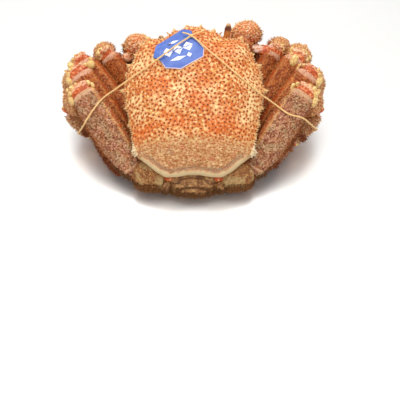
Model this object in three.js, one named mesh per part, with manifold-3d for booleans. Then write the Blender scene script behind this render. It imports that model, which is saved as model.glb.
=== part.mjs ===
// A boiled hairy crab, legs and claws folded under it and tied with a string that holds a paper tag.
// Millimetres, +Z up, +Y towards the crab's face, origin under the middle of the crab on its standing plane.
import * as THREE from 'three';
import { mergeVertices } from 'three/addons/utils/BufferGeometryUtils.js';
import Module from 'manifold-3d';

const wasm = await Module();
wasm.setup();

// ---- driving dimensions ----
const gap = 0.3; // clear space between neighbouring pieces
const tilt = THREE.MathUtils.degToRad(29); // the face end of the body is raised
const rearMargin = [0.5, -57.7, 24]; // middle of the shell's rear edge
const midway = 9; // the joints below are measured from a point this far behind the middle of the folded crab

const shell = {
  centre: 62, // along the shell, from its rear edge
  dome: 19, // height over the plane of its edge
  flatness: 2.3, // how flat the top of the dome is
  rim: 3, // thickness of its edge
  under: 4.5, // depth of its underside at the middle
  frontLift: 4, // how far the front edge stands over the plane
  rearRidge: 1.1, // height of the smooth band along the rear edge
  spokes: 48, // even points round the outline
};
// Half of the shell's outline, from the rear edge to the front: sideways, forwards.
const shellOutline = [
  [0, 0], [9, -1], [18, -2.8], [26, 0], [34, 6.5], [41, 11.5], [45.5, 16], [46.8, 24], [48, 31], [49.8, 38],
  [50.8, 46], [52.6, 54], [54, 62], [54.6, 69], [53.2, 76], [51.6, 84], [47.8, 91], [45.2, 98], [41.8, 104],
  [36, 108.5], [30.5, 108.5], [25, 109], [20.5, 112], [15.5, 115.5], [10.5, 116.5], [5.5, 119.5], [0, 119],
];
// Teeth on that outline: where they stand, and how far they reach out of it.
const shellTeeth = [
  { at: [46.2, 18], reach: 2.4 }, { at: [47.6, 29], reach: 1.2 }, { at: [50, 40], reach: 1.9 },
  { at: [52.4, 53], reach: 2.4 }, { at: [54.4, 67], reach: 4.6 }, { at: [52.6, 80], reach: 1.8 },
  { at: [50.4, 87], reach: 3.4 }, { at: [46.4, 96], reach: 1.8 }, { at: [42, 104], reach: 1.6 },
  { at: [36, 108.5], reach: 4 }, { at: [15.5, 115.5], reach: 2.8 }, { at: [5.5, 119.5], reach: 1.6 },
];
const toothHalfWidth = THREE.MathUtils.degToRad(2.2);

// Underbody: rings from its top to its belly, as share of the shell's outline and depth under its plane.
const thorax = {
  rings: [[0.5, -5], [0.93, -5], [0.94, -8], [0.93, -16], [0.86, -27], [0.7, -36], [0.42, -42]],
  belly: -44,
  rearInset: 0.1, // its rear end stands inside the shell's, behind the tail flap
  overFloor: 7.5, // room for the tail flap under it
  spokes: 36,
};

// Tail flap, folded round the rear end and under the belly: its middle line in the plane of symmetry.
const flap = {
  line: [
    [-51.5, 19.5], [-58, 16.5], [-60.5, 11], [-58.5, 5.2], [-52, 2.6], [-40, 3], [-25, 5.4], [-8, 9], [7, 14.5],
  ],
  halfWidths: [20.5, 22, 22.5, 22, 20, 17, 13.5, 10, 5],
  thick: 5.6,
};

// Walking legs, from the second pair of limbs to the fifth. Each row gives the right leg's joints and
// the way its broad side looks; the left leg is the mirror image, with its joints moved by the shifts.
const legs = [
  {
    name: 'leg_2', size: 0.9, facing: [0.62, -0.45, 0.64], root: [27, 19, 31],
    hip: [42, 14, 24], knee: [67, 53, 54], wrist: [79, 78, 42], ankle: [66, 48, 6.5], tip: [36, 26, 0.6],
    kneeShift: [4, -3, -1], wristShift: [3, -8, -1], ankleShift: [-1, -5, 0],
  },
  {
    name: 'leg_3', size: 0.98, facing: [0, -0.64, 0.77], root: [28, -3, 24],
    hip: [46, -5, 16], knee: [85, 45, 54], wrist: [93, 67, 43], ankle: [77, 32, 7.5], tip: [44, 9, 0.8],
    kneeShift: [7, -2, -2], wristShift: [1, -16, -8], ankleShift: [-4, -12, 0],
  },
  {
    name: 'leg_4', size: 1, facing: [0, -0.64, 0.77], root: [28, -24, 19],
    hip: [47, -25, 13], knee: [93, 26, 54], wrist: [101, 27, 33], ankle: [73, 4, 11], tip: [47, -21, 8.5],
    kneeShift: [-1, 0, 0], wristShift: [1, 1, 0], ankleShift: [-5, 0, 0],
  },
  {
    name: 'leg_5', size: 1.04, facing: [0, -0.64, 0.77], root: [23, -51, 14.5],
    hip: [45, -47, 13], knee: [87, 4, 52], wrist: [99, 8, 31], ankle: [79, -10, 13], tip: [64, -37, 10],
    kneeShift: [1, 1, 0], wristShift: [1, 1, 0], ankleShift: [1, 8, 0],
  },
];

// Each segment of a leg: half width, half thickness, and stations along it as
// share of the length, share of the half width, share of the half thickness.
const legSegments = {
  ischium: { wide: 9.5, thick: 8, stations: [[0, 0.8, 0.8], [0.3, 1, 1], [0.75, 1, 1], [1, 0.7, 0.7]] },
  merus: {
    wide: 12.3, thick: 6.3,
    stations: [
      [0, 0.5, 0.6], [0.06, 0.68, 0.85], [0.3, 0.95, 1], [0.6, 1, 1], [0.85, 0.93, 1], [0.96, 0.84, 0.95],
      [1, 0.6, 0.7],
    ],
  },
  carpus: {
    wide: 10.6, thick: 8.2,
    stations: [[0, 0.6, 0.7], [0.15, 0.9, 0.95], [0.5, 1, 1], [0.85, 0.88, 0.9], [1, 0.6, 0.65]],
  },
  propodus: {
    wide: 9.6, thick: 6.5,
    stations: [[0, 0.6, 0.65], [0.1, 0.92, 0.95], [0.45, 1, 1], [0.85, 0.78, 0.85], [1, 0.5, 0.6]],
  },
  dactylus: {
    wide: 5.2, thick: 4.4,
    stations: [[0, 0.75, 0.8], [0.12, 1, 1], [0.5, 0.75, 0.75], [0.85, 0.4, 0.4], [1, 0.12, 0.12]],
  },
};
const segmentSides = 10;

// Claws: the right one's joints; the left one is its mirror image, with its elbow moved by elbowShift.
const claw = {
  hip: [30, 34, 47], elbow: [41, 56, 63.5], wrist: [46.5, 69, 65.5], tip: [12, 62, 10],
  elbowShift: [2, -9.5, -6], tipShift: [3, -7, 0],
  facing: [0.25, 0.9, 0.36], // the outer face of the palm looks forwards
  fingersFrom: 0.57, // share of the hand's length at which the moving finger begins
  apart: 6, // from the hand's middle to that finger's root
  tipsApart: 2, // and to its tip
};
const clawSegments = {
  merus: { wide: 9, thick: 8.5, stations: [[0, 0.7, 0.8], [0.25, 0.95, 1], [0.8, 1, 1], [1, 0.75, 0.75]] },
  carpus: {
    wide: 12.6, thick: 11.4,
    stations: [
      [0, 0.5, 0.55], [0.12, 0.8, 0.82], [0.4, 1, 1], [0.7, 0.97, 0.97], [0.92, 0.72, 0.72], [1, 0.5, 0.5],
    ],
  },
  // The palm and its fixed finger are one piece. The fourth number moves the middle sideways, as share of
  // the half width.
  palm: {
    wide: 14.2, thick: 9.6,
    stations: [
      [0, 0.5, 0.6, 0], [0.05, 0.72, 0.8, 0], [0.18, 0.96, 1, 0], [0.38, 1, 0.95, 0], [0.52, 0.9, 0.8, 0],
      [0.58, 0.52, 0.6, -0.36], [0.72, 0.4, 0.5, -0.38], [0.88, 0.27, 0.34, -0.27], [1, 0.09, 0.12, -0.08],
    ],
  },
  finger: {
    wide: 5.8, thick: 5.4,
    stations: [
      [0, 0.8, 0.8, 0], [0.12, 1.05, 1, 0.1], [0.45, 0.9, 0.9, 0.45], [0.8, 0.55, 0.55, 0.3], [1, 0.2, 0.22, 0],
    ],
  },
};
// Face pieces, measured like the shell: sideways, forwards and over its plane. The left eye lies lower.
const eye = {
  from: [24, 104, -3], to: [27.5, 120, 8.5], leftTo: [27, 115, -3], facing: [0, 0, 1],
  wide: 2.9, thick: 2.9, square: 2,
  stations: [
    [0, 0.6, 0.6], [0.3, 0.7, 0.7], [0.55, 0.95, 0.95], [0.8, 1, 1], [0.95, 0.75, 0.75], [1, 0.45, 0.45],
  ],
};
const mouthpart = {
  from: [7.4, 97, -42], to: [6.8, 119, -15], facing: [0, 0.78, -0.62], wide: 6.4, thick: 4.2,
  stations: [[0, 0.6, 0.7], [0.1, 0.9, 1], [0.6, 1, 1], [0.9, 0.75, 0.9], [1, 0.5, 0.6]],
};
const antenna = {
  from: [14.5, 112, -7], to: [23, 125, -17], facing: [0, 0, 1], wide: 2.1, thick: 2.1,
  stations: [[0, 1, 1], [0.25, 0.95, 0.95], [0.45, 0.6, 0.6], [1, 0.2, 0.2]],
};

// Paper tag on the shell's front: its corners over the shell's plane, sideways and forwards.
const tag = {
  corners: [
    [-9.4, 115], [-1.8, 112], [-0.7, 106], [7.9, 94.8], [7.2, 87.5], [-9.7, 77.3], [-21.5, 78.5], [-26.3, 86.4],
    [-31.2, 88.5], [-29.2, 98.7],
  ],
  middle: [-12, 96],
  over: 1, // clear of the shell
  thick: 0.6,
  shares: [0.4, 0.75, 1], // rings from its middle to its edge
};

// String, in the same frame as the joints: once round the crab, from the knot over the left legs,
// under the belly and over the right legs.
const string = {
  radius: 0.5,
  steps: 58,
  sides: 8,
  route: [
    [-1.9, 25.4, 90.6], [-11.2, 18.7, 88.2], [-19.9, 12, 85.5], [-27.5, 7.9, 81.8], [-33.6, 6.4, 77.5],
    [-39.7, 5, 73.3], [-46.4, 4.1, 68.5], [-50.5, 3.9, 65.3], [-60.6, 0.5, 59.1], [-70.7, -3.3, 53.1],
    [-78, -13.2, 49.5], [-83.5, -19.1, 43.7], [-85.6, -19.7, 40.2], [-90.3, -12.9, 28.6], [-94.9, -6, 17.1],
    [-94.6, -3, 13.8], [-91.4, -2, 10.9], [-83.5, -2, 8.1], [-64.8, -2, 4.5], [-43, -2, 4.4],
    [-21, -2, 4.4], [0, -2, 4.4], [22, -2, 4.4], [45, -2, 4.4], [67.4, -2, 4.4], [72, -2, 5.3],
    [92.6, -2, 12.5], [98, -2, 15.6], [101, -3.4, 19], [100.5, -6.2, 22.3], [94.5, -11.4, 31.8],
    [88.6, -16.3, 41.4], [84.4, -17.2, 45.4], [74.2, -15.8, 47.9], [66.1, -8.9, 49.5], [59.1, -7.1, 54.4],
    [52.2, -5.6, 59.2], [48.3, -5.4, 62.9], [42.8, -4, 67.6], [33.8, -0.2, 73.9], [21.5, 7.2, 81.1],
    [9.2, 15.8, 87.3], [4, 20.7, 89.4], [-0.9, 25.4, 90.6],
  ],
  ends: [
    [[-1.6, 25.5, 90.7], [1.2, 27, 91.4], [4.6, 29.6, 91], [8.6, 34.2, 89.6]],
    [[-1.2, 25.5, 90.7], [-4.2, 27.2, 91.3], [-8.2, 29.6, 90.7]],
  ],
  endSteps: 4,
  knot: [-1.4, 25.6, 90.7],
  knotRadius: 1.4,
};

const shellColour = 0xf0b47c;
const legColour = 0xb57a58;
const bellyColour = 0xe8c08c;
const clawColour = 0xd98a5c;
const fingerColour = 0x4a2a1c;
const eyeColour = 0x3a1a10;
const tagColour = 0x5f7df0;
const stringColour = 0xf6dda8;

// ---- closed bodies from rings ----
function closedBody(first, rings, last) {
  const points = [first, ...rings.flat(), last];
  const count = rings[0].length;
  const index = [];
  for (let i = 0; i < count; i++) index.push(0, 1 + ((i + 1) % count), 1 + i);
  for (let r = 0; r < rings.length - 1; r++) {
    for (let i = 0; i < count; i++) {
      const a = 1 + r * count + i;
      const b = 1 + r * count + ((i + 1) % count);
      if (i % 2) index.push(a, b, a + count, b, b + count, a + count);
      else index.push(a, b, b + count, a, b + count, a + count);
    }
  }
  const lastRing = 1 + (rings.length - 1) * count;
  for (let i = 0; i < count; i++) index.push(points.length - 1, lastRing + i, lastRing + ((i + 1) % count));
  const geometry = new THREE.BufferGeometry().setFromPoints(points);
  geometry.setIndex(index);
  return geometry;
}

function bare(geometry) {
  return mergeVertices(geometry.deleteAttribute('normal').deleteAttribute('uv'));
}

function toSolid(geometry, matrix) {
  const plain = mergeVertices(new THREE.BufferGeometry()
    .setAttribute('position', geometry.getAttribute('position').clone())
    .setIndex(geometry.getIndex())
    .applyMatrix4(matrix), 1e-4);
  return new wasm.Manifold(new wasm.Mesh({
    numProp: 3,
    vertProperties: plain.attributes.position.array,
    triVerts: new Uint32Array(plain.index.array),
  }));
}

function toGeometry(solid, matrix) {
  const mesh = solid.getMesh();
  return new THREE.BufferGeometry()
    .setAttribute('position', new THREE.BufferAttribute(mesh.vertProperties, 3))
    .setIndex(new THREE.BufferAttribute(mesh.triVerts, 1))
    .applyMatrix4(matrix.clone().invert());
}

// ---- pieces, in the order in which they take their space ----
const crab = new THREE.Group();
const folded = new THREE.Group();
folded.position.y = -midway;
crab.add(folded);
const floorDepth = 40;
const floorSide = 400;
const floorSolid = toSolid(
  bare(new THREE.BoxGeometry(floorSide, floorSide, floorDepth)),
  new THREE.Matrix4().makeTranslation(0, 0, -floorDepth / 2),
);
const taken = []; // { solid, shape, matrix } of every piece so far

function meets(a, b) {
  const boxA = a.boundingBox();
  const boxB = b.boundingBox();
  return [0, 1, 2].every((k) => boxA.min[k] < boxB.max[k] + gap && boxB.min[k] < boxA.max[k] + gap);
}

// shape(grow) gives the piece's geometry, swollen by grow; what earlier pieces hold is cut from it.
function addPiece(parent, name, colour, shape, place = new THREE.Matrix4()) {
  parent.updateWorldMatrix(true, false);
  const matrix = parent.matrixWorld.clone().multiply(place);
  let solid = toSolid(shape(0), matrix);
  for (const other of taken) {
    if (!meets(solid, other.solid)) continue;
    other.grown ??= toSolid(other.shape(gap), other.matrix);
    solid = solid.subtract(other.grown);
  }
  if (solid.boundingBox().min[2] < 0) solid = solid.subtract(floorSolid);
  const bodies = solid.decompose().sort((a, b) => b.volume() - a.volume());
  taken.push({ solid: bodies[0], shape, matrix });
  const material = new THREE.MeshStandardMaterial({ color: colour, roughness: 0.5, metalness: 0 });
  const mesh = new THREE.Mesh(toGeometry(bodies[0], matrix), material);
  mesh.name = name;
  place.decompose(mesh.position, mesh.quaternion, mesh.scale);
  parent.add(mesh);
  return mesh;
}

// ---- the shell ----
const bodyGroup = new THREE.Group();
bodyGroup.position.set(...rearMargin);
bodyGroup.rotation.x = tilt;
folded.add(bodyGroup);

const sideways = shellOutline.map(([x, y]) => new THREE.Vector3(x, y, 0));
const mirrored = sideways.slice(1, -1).reverse().map((p) => new THREE.Vector3(-p.x, p.y, 0));
const outlineCurve = new THREE.CatmullRomCurve3([...sideways, ...mirrored], true, 'centripetal');
const outlineByAngle = outlineCurve.getPoints(360)
  .map((p) => ({ angle: Math.atan2(p.y - shell.centre, p.x), radius: Math.hypot(p.x, p.y - shell.centre) }))
  .sort((a, b) => a.angle - b.angle);

function outlineRadius(angle) {
  const wrapped = Math.atan2(Math.sin(angle), Math.cos(angle));
  const next = outlineByAngle.findIndex((p) => p.angle >= wrapped);
  const b = outlineByAngle[Math.max(next, 0)];
  const a = outlineByAngle.at(Math.max(next, 0) - 1);
  const span = b.angle - a.angle;
  const share = span > 1e-9 ? (wrapped - a.angle) / span : 0;
  return THREE.MathUtils.lerp(a.radius, b.radius, THREE.MathUtils.clamp(share, 0, 1));
}

const toothAngles = shellTeeth.flatMap(({ at: [x, y], reach }) => [1, -1].map((side) => ({
  angle: Math.atan2(y - shell.centre, side * x), reach,
})));

function toothReach(angle) {
  const reaches = toothAngles.map((tooth) => {
    const off = Math.abs(Math.atan2(Math.sin(angle - tooth.angle), Math.cos(angle - tooth.angle)));
    return tooth.reach * Math.max(0, 1 - off / toothHalfWidth);
  });
  return Math.max(...reaches);
}

function spokeAngles(count, teeth) {
  const even = Array.from({ length: count }, (_, i) => -Math.PI + (2 * Math.PI * (i + 0.5)) / count);
  const around = (angle) => [angle - toothHalfWidth, angle, angle + toothHalfWidth];
  const sharp = teeth ? toothAngles.flatMap((tooth) => around(tooth.angle)) : [];
  const near = (a) => sharp.some((b) => Math.abs(a - b) < toothHalfWidth);
  const kept = [...even.filter((a) => !near(a)), ...sharp].sort((a, b) => a - b);
  return kept.filter((a, i) => i === 0 || a - kept[i - 1] > 1e-3);
}

function edgeLift(forward) {
  return shell.frontLift * THREE.MathUtils.smoothstep(forward, 60, 120);
}

// Height of the shell's outside over the plane of its edge, for a share of the way to the outline.
function domeHeight(share, angle) {
  const lift = edgeLift(shell.centre + share * outlineRadius(angle) * Math.sin(angle));
  const dome = shell.dome * (1 - share ** shell.flatness) ** 0.75;
  const rearness = THREE.MathUtils.smoothstep(-Math.sin(angle), 0.62, 0.8);
  const ridge = shell.rearRidge * rearness * Math.exp(-(((share - 0.97) / 0.03) ** 2));
  return dome + lift + ridge;
}

function domeAt(x, y) {
  const angle = Math.atan2(y - shell.centre, x);
  return domeHeight(Math.min(1, Math.hypot(x, y - shell.centre) / outlineRadius(angle)), angle);
}

function ringOf(angles, share, height, extra = () => 0, grow = 0) {
  return angles.map((angle) => {
    const radius = outlineRadius(angle) * share + extra(angle) + grow;
    return new THREE.Vector3(radius * Math.cos(angle), shell.centre + radius * Math.sin(angle), height(angle));
  });
}

function shellShape(grow) {
  const angles = spokeAngles(shell.spokes, true);
  const under = [[0.5, -shell.under], [0.975, -shell.rim]].map(([share, depth]) => ringOf(
    angles, share, (a) => depth + edgeLift(shell.centre + share * outlineRadius(a) * Math.sin(a)) - grow,
    undefined, share > 0.6 ? grow : 0,
  ));
  const edge = ringOf(angles, 1, (a) => domeHeight(1, a) - 0.45 * shell.rim, toothReach, grow);
  const above = [0.985, 0.95, 0.87, 0.74, 0.56, 0.32].map((share) => ringOf(
    angles, share, (a) => domeHeight(share, a) + grow, (a) => (share > 0.97 ? 0.5 * toothReach(a) : 0),
    grow * share,
  ));
  const first = new THREE.Vector3(0, shell.centre, edgeLift(shell.centre) - shell.under - grow);
  const last = new THREE.Vector3(0, shell.centre, domeHeight(0, 0) + grow);
  return closedBody(first, [...under, edge, ...above], last);
}
addPiece(bodyGroup, 'shell', shellColour, shellShape);

// ---- underbody ----
function floorDepthAt(forward) {
  return -(rearMargin[2] + forward * Math.sin(tilt)) / Math.cos(tilt);
}

function thoraxShape(grow) {
  const angles = spokeAngles(thorax.spokes, false);
  const lowest = (forward, depth) => Math.max(depth, floorDepthAt(forward) + thorax.overFloor) - grow;
  const rings = [...thorax.rings].reverse().map(([share, depth], i, all) => angles.map((angle) => {
    const inset = 1 - thorax.rearInset * Math.max(0, -Math.sin(angle));
    const radius = outlineRadius(angle) * share * inset + (i < all.length - 1 ? grow : 0);
    const point = new THREE.Vector3(radius * Math.cos(angle), shell.centre + radius * Math.sin(angle), 0);
    point.z = depth > -6 ? depth + edgeLift(point.y) + grow : lowest(point.y, depth);
    return point;
  }));
  return closedBody(
    new THREE.Vector3(0, shell.centre, thorax.belly - grow), rings,
    new THREE.Vector3(0, shell.centre, thorax.rings[0][1] + grow),
  );
}
addPiece(bodyGroup, 'underbody', bellyColour, thoraxShape);

// ---- tail flap: one plate that follows its middle line, round across ----
function flapShape(grow) {
  const middle = new THREE.CatmullRomCurve3(flap.line.map(([y, z]) => new THREE.Vector3(0, y, z)));
  const steps = 1.5 * (flap.line.length - 1);
  const across = 8;
  const rings = Array.from({ length: steps + 1 }, (_, i) => {
    const t = i / steps;
    const at = middle.getPoint(t);
    const along = middle.getTangent(t);
    const out = new THREE.Vector3(0, along.z, -along.y);
    const place = t * (flap.halfWidths.length - 1);
    const low = Math.min(Math.floor(place), flap.halfWidths.length - 2);
    const half = THREE.MathUtils.lerp(flap.halfWidths[low], flap.halfWidths[low + 1], place - low) + grow;
    const outer = Array.from({ length: across + 1 }, (_, k) => {
      const share = 1 - (2 * k) / across;
      const rise = (flap.thick / 2) * Math.sqrt(1 - 0.8 * share * share) + grow;
      return at.clone().addScaledVector(out, rise).add(new THREE.Vector3(half * share, 0, 0));
    });
    const inner = [-0.7, 0.7].map((share) => at.clone()
      .addScaledVector(out, -flap.thick / 2 - grow).add(new THREE.Vector3(half * share, 0, 0)));
    return [...outer, ...inner];
  });
  const cap = (ring, away) => ring.reduce((sum, p) => sum.add(p), new THREE.Vector3())
    .divideScalar(ring.length).addScaledVector(away, 0.6 + grow);
  return closedBody(
    cap(rings[0], middle.getTangent(0).negate()), rings, cap(rings.at(-1), middle.getTangent(1)),
  );
}
addPiece(folded, 'tail_flap', bellyColour, flapShape);

// ---- a limb's segment: rings along a line, flat oval in section ----
function segmentShape({ wide, thick, stations, length, side = 1, square = 2.6, swell = 1 }) {
  return (gapGrow) => {
    const grow = swell * gapGrow;
    const rings = stations.map(([share, wideShare, thickShare, shift = 0], i) => {
      const end = i === 0 ? -grow : i === stations.length - 1 ? grow : 0;
      const halfWide = wide * wideShare + grow;
      const halfThick = thick * thickShare + grow;
      return Array.from({ length: segmentSides }, (_, k) => {
        const turn = (2 * Math.PI * (k + 0.5)) / segmentSides;
        const across = Math.sign(Math.cos(turn)) * Math.abs(Math.cos(turn)) ** (2 / square);
        const up = Math.sign(Math.sin(turn)) * Math.abs(Math.sin(turn)) ** (2 / square);
        const sideways = halfWide * across + side * shift * wide;
        return new THREE.Vector3(sideways, halfThick * up, share * length + end);
      });
    });
    const bulge = 0.12 * thick;
    return closedBody(
      new THREE.Vector3(0, 0, -bulge - grow), rings, new THREE.Vector3(0, 0, length + bulge + grow),
    );
  };
}

function placeAlong(from, to, facing) {
  const along = to.clone().sub(from).normalize();
  const up = facing.clone().addScaledVector(along, -facing.dot(along)).normalize();
  const matrix = new THREE.Matrix4().makeBasis(new THREE.Vector3().crossVectors(up, along), up, along);
  return matrix.setPosition(from);
}

function point([x, y, z], side, [dx, dy, dz] = [0, 0, 0]) {
  return new THREE.Vector3(side * (x + dx), y + dy, z + dz);
}

function addSegment(parent, name, colour, segment, from, to, facing, more = {}) {
  const length = to.distanceTo(from);
  const shape = segmentShape({ ...segment, ...more, length });
  return addPiece(parent, name, colour, shape, placeAlong(from, to, facing));
}

// ---- walking legs ----
const sides = { right: 1, left: -1 };

function legJoints(leg, side) {
  const shift = (joint) => (side < 0 && leg[`${joint}Shift`]) || [0, 0, 0];
  const joints = ['root', 'hip', 'knee', 'wrist', 'ankle', 'tip'];
  return Object.fromEntries(joints.map((joint) => [joint, point(leg[joint], side, shift(joint))]));
}

const legSpans = [
  ['merus', 'hip', 'knee'], ['carpus', 'knee', 'wrist'], ['propodus', 'wrist', 'ankle'],
  ['dactylus', 'ankle', 'tip'], ['ischium', 'root', 'hip'],
];
for (const [segmentName, from, to] of legSpans) {
  for (const leg of [...legs].reverse()) {
    for (const [sideName, side] of Object.entries(sides)) {
      const joints = legJoints(leg, side);
      const segment = legSegments[segmentName];
      const scaled = { ...segment, wide: segment.wide * leg.size, thick: segment.thick * leg.size };
      const name = `${leg.name}_${segmentName}_${sideName}`;
      addSegment(folded, name, legColour, scaled, joints[from], joints[to], point(leg.facing, side));
    }
  }
}

// ---- claws ----
for (const [sideName, side] of Object.entries(sides)) {
  const shift = side < 0 ? claw.elbowShift : [0, 0, 0];
  const at = (joint, move = [0, 0, 0]) => point(claw[joint], side, move);
  const facing = point(claw.facing, side);
  const elbow = at('elbow', shift);
  const wrist = at('wrist', shift);
  const tip = at('tip', side < 0 ? claw.tipShift : [0, 0, 0]);
  const along = tip.clone().sub(wrist);
  const inward = new THREE.Vector3().crossVectors(facing, along).normalize().multiplyScalar(side);
  const fingerFrom = wrist.clone().addScaledVector(along, claw.fingersFrom);
  fingerFrom.addScaledVector(inward, claw.apart);
  const fingerTo = tip.clone().addScaledVector(inward, claw.tipsApart);
  const add = (name, colour, from, to) => addSegment(
    folded, `claw_${name}_${sideName}`, colour, clawSegments[name], from, to, facing, { side, swell: 2 },
  );
  add('carpus', clawColour, elbow, wrist.clone().lerp(elbow, -0.25));
  add('palm', clawColour, wrist, tip);
  add('finger', fingerColour, fingerFrom, fingerTo);
  add('merus', clawColour, at('hip'), elbow);
}

// ---- face ----
for (const [sideName, side] of Object.entries(sides)) {
  for (const [name, piece] of Object.entries({ eye, mouthpart, antenna })) {
    const to = side < 0 && piece.leftTo ? piece.leftTo : piece.to;
    addSegment(
      bodyGroup, `${name}_${sideName}`, name === 'eye' ? eyeColour : bellyColour, piece,
      point(piece.from, side), point(to, side), point(piece.facing, side),
    );
  }
}

// ---- tag ----
function tagShape(grow) {
  const [middleX, middleY] = tag.middle;
  const edges = tag.corners.flatMap(([x, y], i) => {
    const [nextX, nextY] = tag.corners[(i + 1) % tag.corners.length];
    return [[x, y], [(x + nextX) / 2, (y + nextY) / 2]];
  }).reverse();
  const layer = (share, over) => edges.map(([x, y]) => {
    const sideways = middleX + share * (x - middleX);
    const forwards = middleY + share * (y - middleY);
    return new THREE.Vector3(sideways, forwards, domeAt(sideways, forwards) + over);
  });
  const low = tag.over - grow;
  const high = tag.over + tag.thick + grow;
  const rings = [
    ...tag.shares.map((share) => layer(share, low)),
    ...[...tag.shares].reverse().map((share) => layer(share, high)),
  ];
  const centre = (over) => new THREE.Vector3(middleX, middleY, domeAt(middleX, middleY) + over);
  return closedBody(centre(low), rings, centre(high));
}
addPiece(bodyGroup, 'tag', tagColour, tagShape);

// ---- string ----
function tube(points, steps) {
  const outline = new THREE.Shape(Array.from({ length: string.sides }, (_, i) => {
    const turn = (2 * Math.PI * i) / string.sides;
    return new THREE.Vector2(string.radius * Math.cos(turn), string.radius * Math.sin(turn));
  }));
  const path = new THREE.CatmullRomCurve3(points.map((p) => new THREE.Vector3(...p)));
  const geometry = new THREE.ExtrudeGeometry(outline, { extrudePath: path, steps });
  return toSolid(bare(geometry), new THREE.Matrix4());
}
const knotSolid = toSolid(
  bare(new THREE.SphereGeometry(string.knotRadius, 8, 6)),
  new THREE.Matrix4().makeTranslation(...string.knot),
);
const stringSolid = string.ends.reduce(
  (solid, end) => solid.add(tube(end, string.endSteps)), tube(string.route, string.steps).add(knotSolid),
);
const stringMesh = new THREE.Mesh(
  toGeometry(stringSolid, new THREE.Matrix4()),
  new THREE.MeshStandardMaterial({ color: stringColour, roughness: 0.7, metalness: 0 }),
);
stringMesh.name = 'string';
folded.add(stringMesh);

export default crab;
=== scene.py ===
import math

import bpy
import numpy as np
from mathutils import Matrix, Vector
from mathutils.bvhtree import BVHTree
from mathutils.kdtree import KDTree


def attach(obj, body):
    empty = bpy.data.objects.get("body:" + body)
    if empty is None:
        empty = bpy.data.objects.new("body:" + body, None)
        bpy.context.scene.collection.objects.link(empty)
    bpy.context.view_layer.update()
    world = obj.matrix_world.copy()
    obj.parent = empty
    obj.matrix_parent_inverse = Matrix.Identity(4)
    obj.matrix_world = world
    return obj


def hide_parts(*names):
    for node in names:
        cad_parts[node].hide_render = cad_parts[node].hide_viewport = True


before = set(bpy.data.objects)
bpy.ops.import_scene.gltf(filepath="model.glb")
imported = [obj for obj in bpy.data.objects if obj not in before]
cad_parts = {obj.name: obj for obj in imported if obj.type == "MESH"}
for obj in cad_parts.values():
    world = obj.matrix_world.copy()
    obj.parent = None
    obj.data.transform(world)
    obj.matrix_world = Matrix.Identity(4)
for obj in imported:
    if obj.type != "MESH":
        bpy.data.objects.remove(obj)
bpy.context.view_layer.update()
dice = np.random.default_rng(41)
mm = 0.001
midway = 9  # the crab's joints are measured from a point this far behind its middle, in mm


# small helpers
def selectOnly(*pieces):
    bpy.ops.object.select_all(action='DESELECT')
    for piece in pieces:
        piece.select_set(True)
    bpy.context.view_layer.objects.active = pieces[0]


def modify(piece, kind, **settings):  # adds a modifier and applies it
    selectOnly(piece)
    modifier = piece.modifiers.new(kind.title(), kind)
    for setting, value in settings.items():
        setattr(modifier, setting, value)
    bpy.ops.object.modifier_apply(modifier=modifier.name)


def roughen(piece, name, height, grain):  # cloudy relief, both in mm
    clouds = bpy.data.textures.new(name, 'CLOUDS')
    clouds.noise_scale = grain * mm
    modify(piece, 'DISPLACE', strength=height * mm, mid_level=0.5, texture=clouds, texture_coords='LOCAL')


def pointValues(piece, kind):
    flat = np.empty(3 * len(piece.data.vertices))
    piece.data.vertices.foreach_get(kind, flat)
    return flat.reshape(-1, 3)


def places(piece):
    return pointValues(piece, 'co')


def normals(piece):
    return pointValues(piece, 'normal')


def movePlaces(piece, spots):
    piece.data.vertices.foreach_set('co', np.ascontiguousarray(spots).ravel())
    piece.data.update()


def paintPoints(piece, name, values):  # one value or one triple for each point of the mesh
    kind, part = ('FLOAT', 'value') if values.ndim == 1 else ('FLOAT_VECTOR', 'vector')
    attribute = piece.data.attributes.new(name, kind, 'POINT')
    attribute.data.foreach_set(part, np.ascontiguousarray(values).ravel())


def unit(vectors):
    return vectors / np.maximum(np.linalg.norm(vectors, axis=-1, keepdims=True), 1e-12)


def ramp(values, low, high):  # 0 below low, 1 above high, smooth between
    share = np.clip((values - low) / (high - low), 0, 1)
    return share * share * (3 - 2 * share)


def bump(values, middle, width):
    return np.exp(-((values - middle) / width) ** 2)


def picked(chosen, *columns):  # the same rows of each column
    return [column[chosen] for column in columns]


def stacked(parts):  # the columns of several parts, each joined end to end
    return [np.concatenate(column) for column in zip(*parts)]


def settle(piece, material, slotName, *nodes):  # material and body for the piece; slotName is not used; nodes are what the piece stands for
    spots = places(piece)
    spots[:, 2] = np.maximum(spots[:, 2], 0)  # nothing goes below the floor
    movePlaces(piece, spots)
    piece.data.materials.clear()
    piece.data.materials.append(material)
    selectOnly(piece)
    bpy.ops.object.shade_smooth()
    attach(piece, "root")
    if nodes:
        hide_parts(*nodes)
    return piece


# camera and light, as in a shop's product picture
view = {'place': (5.2, -399, 390.1), 'downwards': 50, 'lens': 58.3}
bpy.ops.object.select_all(action='DESELECT')
bpy.ops.object.camera_add(
    location=[v * mm for v in view['place']], rotation=(math.radians(90 - view['downwards']), 0, 0))
camera = bpy.context.object
camera.data.lens = view['lens']
bpy.context.scene.camera = camera
bpy.context.scene.view_settings.view_transform = 'Standard'

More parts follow.
